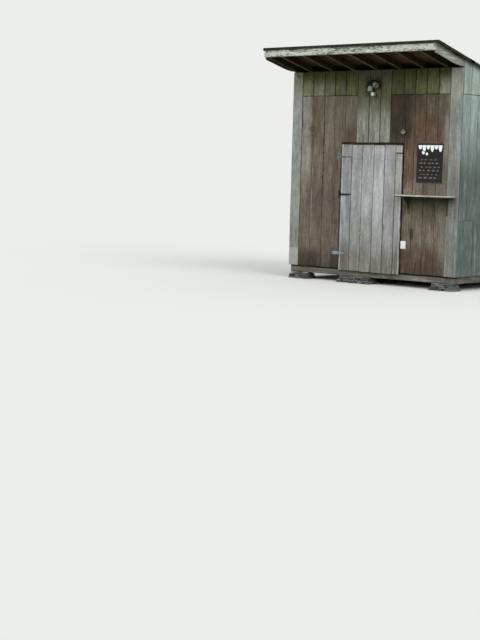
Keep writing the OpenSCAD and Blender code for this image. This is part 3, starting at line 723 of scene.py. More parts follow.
# The door header is darkened, painted shade in the gap over the door
HEADER_SHADE_WOOD = SawnWood(
    "shaded_dark_header_softwood", "#3b3129", "#251e18", "#100c09", Grain.ACROSS, tone=0.2)
JOIST_WOOD = SawnWood(
    "brown_joist_softwood", "#7d6a54", "#5c4b39", "#33281d", Grain.DEEP, tone=0.2)
# Floor boards worn smooth and brown
FLOOR_WOOD = SawnWood(
    "worn_floor_softwood", "#8a7660", "#67533f", "#33281e", Grain.ACROSS, tone=0.25)
# Ledges and braces, brown in the shelter of the door
LEDGE_WOOD = SawnWood(
    "brown_ledge_softwood", "#867662", "#665846", "#372d23", Grain.ACROSS, tone=0.2)
# Grey split faces with darker layers, no two stones alike
STONE = FieldStone("split_field_stone", "#7c7d79", "#2c2d2b", "#585c45")
# Black grit with green growth, and cushions of a livelier green
FELT = RollFelt("mineral_roofing_felt", "#161a12", "#34382c", "#34451c", 0.55)
MOSS = RollFelt("cushion_moss", "#222d10", "#364617", "#43551d", 1.0)
# Small heads of rusty brown, dull dark paint, and dull zinc
NAIL_STEEL = Steel("rusty_nail_steel", "#55504a", "#3a332d", "#4b2d1c", 0.7)
BRACKET_STEEL = Steel("painted_bracket_steel", "#4c483a", "#3c382c", "#4a3d2b", 0.3, 0.0, 0.7, gloss=0.2)
HINGE_STEEL = HingeSteel("zinc_hinge_steel", "#96a3a5", "#76827f", "#4e4a41", 0.45, 0.0, 0.7, 0.6, 0.2)
SCREW_STEEL = Steel("zinc_screw_steel", "#7e8583", "#5d6462", "#5a3c2a", 0.4)
# Flat black paint, bare edges and smooth cut shapes
SIGN_PAINT = Coat("black_brushed_board_paint", "#2a2928", "#343231", 0.6, 0.8, grain=0.5, gloss=0.08)
SIGN_EDGE = Coat("bare_board_edge", "#8d877c", "#5d574e", 0.6, 0.8)
SIGN_WHITE = Coat("white_cut_vinyl", "#eef3f2", "#c4c8c4", 0.3, 0.45)
SIGN_GREY = Coat("grey_cut_vinyl", "#5e5c5b", "#454342", 0.5, 0.5)
# Clean white, dirty grey-green and milky plastics with a soft sheen
COVER_PLASTIC = Coat("white_moulded_plastic", "#e0e2e0", "#a9a99e", 0.35, 0.35)
SENSOR_PLASTIC = Coat("grey_green_moulded_plastic", "#b3bcae", "#77836e", 0.6, 0.5)
LENS_PLASTIC = Coat("milky_lens_plastic", "#d3d9ce", "#979e90", 0.4, 0.35)
# Dull enamel with algae, a dusty lens and a black box
LAMP_ENAMEL = Coat("dull_lamp_enamel", "#8b9180", "#555d4b", 0.7, 0.6, gloss=0.3)
HEAD_LENS = Coat("dusty_lamp_lens", "#7b7d72", "#5d5f55", 0.5, 0.4, gloss=0.3)
BOX_ENAMEL = Coat("dark_box_enamel", "#0c0c08", "#070705", 0.5, 0.6, gloss=0.1)
# Smooth pale wood, darker at the top
PEG_WOOD = SawnWood(
    "turned_peg_beech", "#9c9586", "#7d7768", "#545646", Grain.DEEP, streak=0.012, run=0.05, tone=0.0, seam=0.0,
    knots=0.0, stains=(Stain("#50523f", 2.045, 2.2, 0.8, 0.012, (0.02, 0.02, 0.02), 0.9),))


# Meshes


@dataclass(frozen=True)
class Sawing:
    """How boards are sawn and how they have moved since.

    The rim is the strip along its edges where a board darkens, and the pitch
    is the distance between the cuts that let it bend.
    """

    gap: float = 0.005
    arris: float = 0.003
    cup: float = 0.0015
    bow: float = 0.0025
    wander: float = 0.0015
    ragged: float = 0.008
    pitch: float = 0.22
    rim: float = 0.013


def loose_part() -> Part:
    """Starts a mesh that carries the tone, rim and seed of its board.

    Returns:
        The empty mesh.
    """
    part = bmesh.new()
    part.verts.layers.float_vector.new(BOARD)
    return part


def slice_part(part: Part, axis: Vector, places: list[float]) -> None:
    """Cuts edges across a mesh without taking anything off.

    Args:
        part: The mesh.
        axis: The direction in which the cuts follow each other.
        places: Their distances along that direction.
    """
    for place in places:
        bmesh.ops.bisect_plane(part, geom=part.verts[:] + part.edges[:] + part.faces[:],
                               dist=1e-5, plane_co=axis * place, plane_no=axis)


def saw_off(part: Part, point: Vector, outward: Vector) -> None:
    """Takes off what lies beyond a plane and closes the cut.

    Args:
        part: The mesh.
        point: A point of the plane.
        outward: The direction of what goes.
    """
    cut = bmesh.ops.bisect_plane(part, geom=part.verts[:] + part.edges[:] + part.faces[:], dist=1e-6,
                                 plane_co=point, plane_no=outward, clear_outer=True)["geom_cut"]
    edges = [e for e in cut if isinstance(e, bmesh.types.BMEdge)]
    if edges:
        bmesh.ops.holes_fill(part, edges=edges, sides=0)


def sharp_edges(part: Part, angle: float = 30.0) -> list[bmesh.types.BMEdge]:
    """Gives the edges where two faces meet at more than an angle in degrees."""
    return [e for e in part.edges if e.is_manifold and e.calc_face_angle(0.0) > math.radians(angle)]


def round_edges(part: Part, edges: list[bmesh.types.BMEdge], width: float, steps: int = 1) -> None:
    """Takes the sharpness off some edges.

    Args:
        part: The mesh.
        edges: The edges.
        width: How far the rounding reaches.
        steps: How many faces it gets.
    """
    bmesh.ops.bevel(part, geom=edges, offset=width, offset_type="OFFSET", segments=steps, profile=0.5,
                    affect="EDGES", clamp_overlap=True, material=-1)


def facing(centre: Vector, face: Vector, run: Vector) -> Matrix:
    """Places a part whose front is -Y and whose length is Z.

    Args:
        centre: Where its middle goes.
        face: Where its front turns to.
        run: Where its length turns to.

    Returns:
        The matrix that places it.
    """
    back = -face.normalized()
    length = run.normalized()
    width = back.cross(length)
    turned = Matrix((width, back, length)).transposed().to_4x4()
    return Matrix.Translation(centre) @ turned


class Workpiece:
    """One piece in the making: parts join it, and it ends as one object."""

    def __init__(self, name: str, seed: int, sawing: Sawing = Sawing()) -> None:
        """Starts an empty piece with random numbers of its own.

        Args:
            name: Its name.
            seed: Seed of its random numbers.
            sawing: How its boards are sawn.
        """
        self.name = name
        self.rng = random.Random(seed)
        self.sawing = sawing
        self.whole = loose_part()

    def take(self, part: Part, matrix: Matrix | None = None, finish: int = 0) -> None:
        """Joins a part to the piece.

        Args:
            part: The part, which is used up.
            matrix: Where it goes.
            finish: The number of its material.
        """
        if matrix is not None:
            part.transform(matrix)
        for face in part.faces:
            face.material_index = finish
        scrap = bpy.data.meshes.new("scrap")
        part.to_mesh(scrap)
        part.free()
        self.whole.from_mesh(scrap)
        bpy.data.meshes.remove(scrap)

    def board(self, centre: Vector, face: Vector, run: Vector, size: tuple[float, float, float], tone: float,
              seed: float | None = None, edges: tuple[float, float] = (1.0, 1.0),
              cuts: tuple[tuple[Vector, Vector], ...] = (), finish: int = 0) -> None:
        """Adds a sawn board.

        Args:
            centre: Its middle.
            face: Where its front turns to.
            run: Where its length turns to.
            size: Width, thickness and length.
            tone: How much lighter or darker than its likes it is, -1 to 1.
            seed: The place in the log, or None for a random one.
            edges: How open its left and right joint are, 0 where it runs on into a neighbour.
            cuts: Planes that it is sawn off at, each a point and a direction.
            finish: The number of its material.
        """
        form, rng = self.sawing, self.rng
        width, thick, length = size
        seed = rng.random() if seed is None else seed
        bow, twist = rng.uniform(-1, 1), rng.uniform(-1, 1)
        ends = (rng.uniform(0, form.ragged), rng.uniform(0, form.ragged))
        part = loose_part()
        bmesh.ops.create_cube(part, size=1.0, matrix=Matrix.Diagonal((width, thick, length, 1.0)))
        open_edges = [e for e in part.edges
                      if not any(not joint and all(v.co.x * side > 0 for v in e.verts)
                                 for joint, side in zip(edges, (-1, 1)))]
        round_edges(part, open_edges, form.arris)
        slice_part(part, RIGHT, [-width / 2 + form.rim, 0.0, width / 2 - form.rim])
        steps = max(2, round(length / form.pitch))
        slice_part(part, UP, [form.rim - length / 2, *(length * (i / steps - 0.5) for i in range(1, steps)),
                              length / 2 - form.rim])
        layer = part.verts.layers.float_vector[BOARD]
        for vert in part.verts:
            x, _, z = vert.co
            side = 1 if x > 0 else -1
            reach = width / 2 - abs(x)
            joint = edges[0] if side < 0 else edges[1]
            dark = max(0.0, 1.0 - (length / 2 - abs(z)) / form.rim, joint * (1.0 - reach / form.rim))
            vert[layer] = (tone, dark, seed)
            along = noise.noise(Vector((seed * 91.0, 3.0, z * 1.6)))
            cup = form.cup * (1 - (2 * x / width) ** 2) * bow
            vert.co.y += form.bow * (0.6 * bow + along + twist * x / width) + cup
            if reach < form.arris * 1.5:
                vert.co.x -= side * joint * form.wander * (1 + noise.noise(Vector((seed * 57.0, side, z * 4.0))))
            if abs(z) > length / 2 - form.arris * 1.5:
                vert.co.z -= math.copysign(ends[0] if z < 0 else ends[1], z)
        part.transform(facing(centre, face, run))
        for point, outward in cuts:
            saw_off(part, point, outward)
        self.take(part, finish=finish)

    def worn(self, node: str, arris: float = 0.003, step: float = 0.35, stray: float = 0.0012,
             tone: float = 0.5, finish: int = 0) -> None:
        """Adds a copy of a CAD node with broken edges and a little warp.

        Args:
            node: The node.
            arris: Width of the broken edges.
            step: Distance between the cuts that let it warp.
            stray: How far its faces stray.
            tone: How far its solids differ in tone.
            finish: The number of its material.
        """
        part = loose_part()
        part.from_mesh(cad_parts[node].data)
        layer = part.verts.layers.float_vector.get(BOARD)
        bmesh.ops.remove_doubles(part, verts=part.verts[:], dist=1e-5)
        bmesh.ops.dissolve_limit(part, angle_limit=math.radians(1.0), verts=part.verts[:], edges=part.edges[:])
        for solid in islands(part):
            mark = (self.rng.uniform(-tone, tone), 0.0, self.rng.random())
            for vert in solid:
                vert[layer] = mark
        if arris:
            round_edges(part, sharp_edges(part), arris)
        low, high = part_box(node)
        for axis, start, end in zip((RIGHT, REAR, UP), low, high):
            count = int((end - start) / step)
            slice_part(part, axis, [start + (end - start) * (i + 0.5) / count for i in range(count)])
        for vert in part.verts:
            shift = noise.noise_vector(vert.co * 2.3 + Vector((vert[layer][2] * 40.0, 0.0, 0.0)))
            vert.co += shift * stray
        self.take(part, finish=finish)

    def recoat(self, finish: int, chosen: Callable[[bmesh.types.BMFace], bool]) -> None:
        """Gives the faces that pass a test another material.

        Args:
            finish: The number of the material.
            chosen: The test.
        """
        self.whole.normal_update()
        for face in self.whole.faces:
            if chosen(face):
                face.material_index = finish

    def nail(self, centre: Vector, face: Vector, radius: float = 0.004, finish: int = 0) -> None:
        """Adds a nail or screw head.

        Args:
            centre: Where it sits on the surface.
            face: Where its head turns to.
            radius: Radius of the head.
            finish: The number of its material.
        """
        part = loose_part()
        bmesh.ops.create_cone(part, cap_ends=True, cap_tris=False, segments=8, radius1=radius, radius2=radius * 0.6,
                              depth=radius * 0.8)
        turn = UP.rotation_difference(face).to_matrix().to_4x4()
        self.take(part, Matrix.Translation(centre) @ turn, finish)

    def block(self, low: Vector, high: Vector, arris: float, steps: int = 2, finish: int = 0) -> None:
        """Adds a block with rounded edges.

        Args:
            low: Its lowest corner.
            high: Its highest corner.
            arris: How far the rounding reaches.
            steps: How many faces the rounding gets.
            finish: The number of its material.
        """
        part = loose_part()
        bmesh.ops.create_cube(part, size=1.0, matrix=Matrix.Diagonal((*(high - low), 1.0)))
        round_edges(part, part.edges[:], arris, steps)
        self.take(part, Matrix.Translation((low + high) / 2), finish)

    def turned(self, profile: list[tuple[float, float]], matrix: Matrix, steps: int = 32, finish: int = 0) -> None:
        """Adds a turned shape.

        Args:
            profile: Radius and distance along Z of each point, from axis to axis.
            matrix: Where it goes.
            steps: How many sides it gets.
            finish: The number of its material.
        """
        part = loose_part()
        verts = [part.verts.new((radius, 0.0, along)) for radius, along in profile]
        edges = [part.edges.new(pair) for pair in zip(verts, verts[1:])]
        bmesh.ops.spin(part, geom=verts + edges, cent=(0, 0, 0), axis=(0, 0, 1), angle=math.tau, steps=steps,
                       use_merge=True)
        bmesh.ops.remove_doubles(part, verts=part.verts[:], dist=1e-5)
        bmesh.ops.recalc_face_normals(part, faces=part.faces[:])
        self.take(part, matrix, finish)

    def finish(self, finishes: list[bpy.types.Material], body: Body, slot: str, nodes: tuple[str, ...] = (),
               smooth: float = 35.0) -> None:
        """Ends the piece as an object that rides on its body.

        Args:
            finishes: Its materials.
            body: The body that it rides on.
            slot: Not used.
            nodes: The CAD nodes that it stands for.
            smooth: The angle in degrees up to which it is shaded smooth.
        """
        mesh = bpy.data.meshes.new(self.name)
        self.whole.to_mesh(mesh)
        self.whole.free()
        mesh.shade_smooth()
        mesh.set_sharp_from_angle(angle=math.radians(smooth))
        for material in finishes:
            mesh.materials.append(material)
        piece = bpy.data.objects.new(self.name, mesh)
        bpy.context.scene.collection.objects.link(piece)
        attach(piece, body.value)
        if nodes:
            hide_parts(*nodes)
        LOG.info("%s: %d faces on %s", self.name, len(mesh.polygons), body.value)


def islands(part: Part) -> list[list[bmesh.types.BMVert]]:
    """Finds the separate solids of a mesh.

    Args:
        part: The mesh.

    Returns:
        The vertices of each solid, in the order of their lowest corners.
    """
    left, found = set(part.verts), []
    while left:
        heap = [left.pop()]
        solid = []
        while heap:
            vert = heap.pop()
            solid.append(vert)
            for edge in vert.link_edges:
                other = edge.other_vert(vert)
                if other in left:
                    left.remove(other)
                    heap.append(other)
        found.append(solid)
    return sorted(found, key=lambda solid: tuple(round(min(v.co[i] for v in solid), 5) for i in range(3)))


def solids_of(node: str) -> list[tuple[Vector, Vector]]:
    """Measures the solids of a CAD node.

    Args:
        node: The node.

    Returns:
        The lowest and highest corner of each solid.
    """
    part = bmesh.new()
    part.from_mesh(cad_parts[node].data)
    bmesh.ops.remove_doubles(part, verts=part.verts[:], dist=1e-5)
    boxes = [tuple(Vector(end(v.co[i] for v in solid) for i in range(3)) for end in (min, max))
             for solid in islands(part)]
    part.free()
    return boxes


def out_of_wall(point: Vector) -> Matrix:
    """Places a turned shape so that its axis runs out of the front wall."""
    return Matrix.Translation(point) @ Matrix.Rotation(math.radians(90), 4, "X")


def dress(node: str, material: bpy.types.Material) -> None:
    """Gives a CAD node that stays its material.

    Args:
        node: The node.
        material: Its material.
    """
    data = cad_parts[node].data
    data.materials.clear()
    data.materials.append(material)
    LOG.info("%s: kept, in %s", node, material.name)


# Sub-assemblies


@dataclass
class Foundation:
    """Piles of flat stones and the sills that lie on them."""

    stone_width: float = 0.13
    courses: tuple[float, ...] = (0.0, 0.26, 0.44, 0.60, 0.80, 1.0)
    squareness: float = 0.28
    roughness: float = 0.07
    lumps: tuple[float, float] = (1.7, 5.0)
    taper: float = 0.008
    stray: float = 0.38
    recess: float = 0.03
    joint: float = 0.002

    def stone(self, piece: Workpiece, low: Vector, high: Vector) -> None:
        """Adds a flat stone that fills a box.

        Args:
            piece: The pile.
            low: Lowest corner of the box.
            high: Highest corner of the box.
        """
        part = loose_part()
        bmesh.ops.create_icosphere(part, subdivisions=3, radius=1.0)
        layer = part.verts.layers.float_vector[BOARD]
        seed, tone = piece.rng.uniform(0, 50), piece.rng.uniform(-1, 1)
        half = (high - low) / 2
        coarse, fine = self.lumps
        for vert in part.verts:
            rough = noise.noise_vector(vert.co * coarse + Vector((seed, 0, 0)))
            rough += 0.4 * noise.noise_vector(vert.co * fine + Vector((0, seed, 0)))
            shape = Vector(math.copysign(abs(c) ** self.squareness, c) for c in vert.co) + rough * self.roughness
            vert.co = Vector(max(-1.0, min(1.0, s * 0.97)) * h for s, h in zip(shape, half))
            vert[layer] = (tone, 0.0, seed)
        piece.take(part, Matrix.Translation((low + high) / 2))

    def piles(self, name: str, node: str, seed: int) -> None:
        """Builds the piles of one row of piers.

        Args:
            name: Name of the piece.
            node: The CAD node that it stands for.
            seed: Seed of its random numbers.
        """
        piece = Workpiece(name, seed)
        for low, high in solids_of(node):
            for course, (start, end) in enumerate(zip(self.courses, self.courses[1:])):
                inset = self.taper * course
                width = high.x - low.x - 2 * inset
                count = max(2, round(width / self.stone_width))
                shifts = [piece.rng.uniform(-self.stray, self.stray) if 0 < i < count else 0 for i in range(count + 1)]
                spots = [low.x + inset + width * (i + shift) / count for i, shift in enumerate(shifts)]
                height = high.z - low.z
                for left, right in zip(spots, spots[1:]):
                    back = piece.rng.uniform(0, self.recess)
                    self.stone(piece, Vector((left + self.joint, low.y + inset + back, low.z + height * start)),
                               Vector((right - self.joint, high.y - inset - back, low.z + height * end)))
        piece.finish([STONE.build()], Body.BUILDING, "stone", (node,), smooth=32.0)

    def build(self) -> None:
        """Builds piles and sills."""
        self.piles("front_stone_piles", "front_piers", 11)
        self.piles("rear_stone_piles", "rear_piers", 12)
        for name, node, wood, seed in (("long_sills", "front_rear_sills", SILL_WOOD, 13),
                                       ("end_sills", "side_sills", SIDE_SILL_WOOD, 14)):
            piece = Workpiece(name, seed)
            piece.worn(node, arris=0.006, step=0.3, stray=0.003)
            piece.finish([wood.build()], Body.BUILDING, "sill_timber", (node,))


@dataclass
class Framing:
    """Joists, floor, posts, header, plates and girts inside the boards."""

    floor_board: float = 0.145

    def build(self) -> None:
        """Builds the floor and breaks the edges of the timbers."""
        beam, post, joist = BEAM_WOOD.build(), POST_WOOD.build(), JOIST_WOOD.build()
        for seed, (node, material) in enumerate((
                ("floor_joists", joist), ("wall_posts", post), ("door_header", HEADER_SHADE_WOOD.build()),
                ("top_plates", beam), ("front_girts", beam), ("rear_girts", beam), ("side_girts", joist))):
            piece = Workpiece("worn_" + node, 20 + seed)
            piece.worn(node, step=0.6, stray=0.001)
            piece.finish([material], Body.BUILDING, "framing_timber", (node,))
        low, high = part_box("floor_boards")
        floor = Workpiece("laid_floor_boards", 30, Sawing(gap=0.004, bow=0.0006, cup=0.0004, ragged=0.0))
        count = round((high.y - low.y) / self.floor_board)
        width = (high.y - low.y) / count
        for i in range(count):
            centre = Vector(((low.x + high.x) / 2, low.y + width * (i + 0.5), (low.z + high.z) / 2))
            floor.board(centre, UP, RIGHT, (width - floor.sawing.gap, high.z - low.z, high.x - low.x),
                        floor.rng.uniform(-1, 1))
        floor.finish([FLOOR_WOOD.build()], Body.BUILDING, "floor_boards", ("floor_boards",))


@dataclass
class Cladding:
    """The upright boards of the four walls, with their nails.

    Seams are wall x. A board that is cut through by an opening keeps its place
    in the log above it, and a faint seam is nearly closed.
    """

    lower_left: tuple[float, ...] = (0.185, 0.394, 0.614, 0.808, 0.965)
    lower_right: tuple[float, ...] = (2.095, 2.262, 2.455, 2.658, 2.853)
    upper_left: tuple[float, ...] = (0.185, 0.394, 0.614, 0.808, 1.013, 1.230)
    upper_right: tuple[float, ...] = (1.840, 2.058, 2.262, 2.455, 2.658, 2.853)
    panel: tuple[float, ...] = (1.230, 1.450, 1.654, 1.840)
    tones: dict[float, float] = field(default_factory=lambda: {
        0.000: 0.2, 0.185: 0.3, 0.394: 0.0, 0.614: 0.2, 0.808: -0.4, 0.965: -0.5, 1.013: -0.2, 1.230: 0.0,
        1.450: 0.2, 1.654: 0.1, 1.840: -0.4, 2.058: -0.1, 2.095: -0.1, 2.262: 0.1, 2.455: 0.1, 2.658: 0.2, 2.853: -0.2})
    cut_through: dict[float, float] = field(default_factory=lambda: {0.965: 0.808, 2.095: 2.058})
    faint: dict[float, float] = field(default_factory=lambda: {
        0.0: 0.25, 0.394: 0.4, 0.808: 0.25, 1.013: 0.45, 2.058: 0.4, 2.262: 0.55, 2.455: 0.75, 2.658: 0.7, 2.853: 0.6,
        3.050: 0.3})
    tight_gap: float = 0.0035
    open_gap: float = 0.005
    log_step: float = 3.3
    upper_log: float = 0.5
    side_board: float = 0.198
    side_joint: float = 2.575
    side_lap: float = 0.004
    side_proud: float = 0.003
    rear_board: float = 0.201
    hatch: tuple[float, ...] = (0.004, 0.200, 0.402)
    hatch_top: float = 0.805
    hatch_thick: float = 0.012
    nail_rows: tuple[float, ...] = (0.06, 0.738, 1.593, 2.50, 2.66)
    nail_inset: float = 0.035
    doorway: tuple[float, float] = (0.96, 2.10)
    door_top: float = 1.9
    upper_foot: float = 2.58
    lower_face: float = 0.0045
    trim_face: float = -0.0015

    def front(self, name: str, node: str, seams: tuple[float, ...], finish: SawnWood, slot: str, seed: int,
              tight: tuple[bool, bool] = (False, False)) -> None:
        """Builds one run of front boards.

        Args:
            name: Name of the piece.
            node: The CAD node that it stands for.
            seams: Wall x of its sides and seams.
            finish: Its wood.
            slot: Its material slot.
            seed: Seed of its random numbers.
            tight: Whether its first and last side run on into a neighbour.
        """
        low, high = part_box(node)
        upper = finish is UPPER_WOOD
        piece = Workpiece(name, seed, Sawing(gap=self.tight_gap if finish.fade > 0.5 else self.open_gap, rim=0.010))
        gap = piece.sawing.gap / 2
        joints = [1.0 if upper else self.faint.get(seam, 1.0) for seam in seams]
        joints[0], joints[-1] = (0.0 if shut else joint for shut, joint in zip(tight, (joints[0], joints[-1])))
        for (start, end), sides in zip(zip(seams, seams[1:]), zip(joints, joints[1:])):
            left = wall(start, 0, 0).x + gap * sides[0]
            right = wall(end, 0, 0).x - gap * sides[1]
            log = self.cut_through.get(start, start) * self.log_step + (self.upper_log if upper else 0.0)
            centre = Vector(((left + right) / 2, (low.y + high.y) / 2, (low.z + high.z) / 2))
            piece.board(centre, FRONT, UP, (right - left, high.y - low.y, high.z - low.z),
                        self.tones[start], log, sides)
        piece.finish([finish.build()], Body.BUILDING, slot, (node,))

    def side(self, name: str, node: str, face: Vector, seed: int) -> None:
        """Builds the boards of a side wall, sawn off along the roof.

        Args:
            name: Name of the piece.
            node: The CAD node that it stands for.
            face: Where the wall faces.
            seed: Seed of its random numbers.
        """
        low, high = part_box(node)
        piece = Workpiece(name, seed, Sawing(gap=0.003, wander=0.0008, rim=0.008, arris=0.002))
        count = round((high.y - low.y) / self.side_board)
        width = (high.y - low.y) / count
        roof = (Vector((0.0, low.y, high.z)), ROOF_UP)
        joint = corner().z + self.side_joint
        for i in range(count):
            tone = piece.rng.uniform(-1, 1)
            for start, end, proud in ((low.z, joint, 0.0), (joint - self.side_lap, high.z, self.side_proud)):
                centre = Vector(((low.x + high.x) / 2, low.y + width * (i + 0.5), (start + end) / 2)) + face * proud
                piece.board(centre, face, UP, (width - piece.sawing.gap, high.x - low.x, end - start), tone,
                            cuts=(roof,))
        piece.finish([SIDE_WOOD.build()], Body.BUILDING, "side_boards", (node,))

    def patch(self) -> None:
        """Nails short boards over an old opening in the right side wall."""
        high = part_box("right_wall_boards")[1]
        piece = Workpiece("side_hatch_board", 52, Sawing(rim=0.016, wander=0.0, bow=0.001, ragged=0.002))
        start = corner()
        for near, far, edges in zip(self.hatch, self.hatch[1:], ((0.2, 0.3), (0.3, 1.0))):
            piece.board(Vector((high.x + 0.001, start.y + (near + far) / 2, start.z + self.hatch_top / 2)), RIGHT, UP,
                        (far - near - 0.001, self.hatch_thick, self.hatch_top), 0.0, edges=edges)
        piece.finish([HATCH_WOOD.build()], Body.BUILDING, "side_boards")

    def rear(self) -> None:
        """Builds the boards of the rear wall."""
        low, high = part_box("rear_wall_boards")
        piece = Workpiece("rear_siding", 47, Sawing(gap=0.003))
        count = round((high.x - low.x) / self.rear_board)
        width = (high.x - low.x) / count
        for i in range(count):
            centre = Vector((low.x + width * (i + 0.5), (low.y + high.y) / 2, (low.z + high.z) / 2))
            piece.board(centre, REAR, UP, (width - piece.sawing.gap, high.y - low.y, high.z - low.z),
                        piece.rng.uniform(-1, 1))
        piece.finish([REAR_WOOD.build()], Body.BUILDING, "rear_boards", ("rear_wall_boards",))

    def nails(self) -> None:
        """Drives two nails into each board at each girt."""
        piece = Workpiece("siding_nails", 48)
        rng = piece.rng
        door_left, door_right = self.doorway
        seams = (0.0, *self.upper_left, *self.panel[1:], *self.upper_right[1:], 3.05)
        for start, end in zip(seams, seams[1:]):
            for row in self.nail_rows:
                for x in (start + self.nail_inset, end - self.nail_inset):
                    if row < self.door_top and door_left < x < door_right:
                        continue
                    z = row + rng.uniform(-0.012, 0.012)
                    on_trim = x < seams[1] or x > seams[-2] or self.panel[0] < x < self.panel[-1]
                    face = self.trim_face if on_trim or row > self.upper_foot else self.lower_face
                    piece.nail(wall(x, face, z), FRONT)
        for node, face in (("left_wall_boards", LEFT), ("right_wall_boards", RIGHT)):
            low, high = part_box(node)
            count = round((high.y - low.y) / self.side_board)
            x = low.x if face == LEFT else high.x
            for i in range(2 * count):
                for row in self.nail_rows[:4]:
                    y = low.y + (high.y - low.y) * (i + 0.5 + rng.uniform(-0.1, 0.1)) / (2 * count)
                    z = corner().z + row
                    if z < soffit(y):
                        piece.nail(Vector((x, y, z + rng.uniform(-0.01, 0.01))) + face * 0.001, face)
        low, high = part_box("rear_wall_boards")
        count = 2 * round((high.x - low.x) / self.rear_board)
        for i in range(count):
            for row in self.nail_rows[:3]:
                x = low.x + (high.x - low.x) * (i + 0.5) / count
                piece.nail(Vector((x, high.y + 0.001, corner().z + row + rng.uniform(-0.01, 0.01))), REAR)
        piece.finish([NAIL_STEEL.build()], Body.BUILDING, "bracket_steel")

    def build(self) -> None:
        """Builds the boards of all the walls."""
        self.front("left_corner_board", "corner_board_left", (0.0, 0.185), CORNER_WOOD, "corner_boards", 40)
        self.front("right_corner_board", "corner_board_right", (2.853, 3.050), CORNER_WOOD, "corner_boards", 41)
        self.front("left_lower_siding", "front_boards_left", self.lower_left, LEFT_WOOD, "left_boards", 42)
        self.front("left_siding_over_door", "over_door_left", (0.965, 1.013, 1.230), LEFT_WOOD, "left_boards", 43,
                   (True, False))
        self.front("right_lower_siding", "front_boards_right", self.lower_right, RIGHT_WOOD, "right_boards", 44)
        self.front("right_siding_over_door", "over_door_right", (1.840, 2.058, 2.095), RIGHT_WOOD, "right_boards", 45,
                   (False, True))
        self.front("left_upper_siding", "upper_boards_left", self.upper_left, UPPER_WOOD, "upper_boards", 46)
        self.front("right_upper_siding", "upper_boards_right", self.upper_right, UPPER_WOOD, "upper_boards", 46)
        self.front("grey_centre_panel", "centre_panel", self.panel, PANEL_WOOD, "panel_boards", 49)
        self.side("left_siding", "left_wall_boards", LEFT, 50)
        self.side("right_siding", "right_wall_boards", RIGHT, 51)
        self.patch()
        self.rear()
        self.nails()


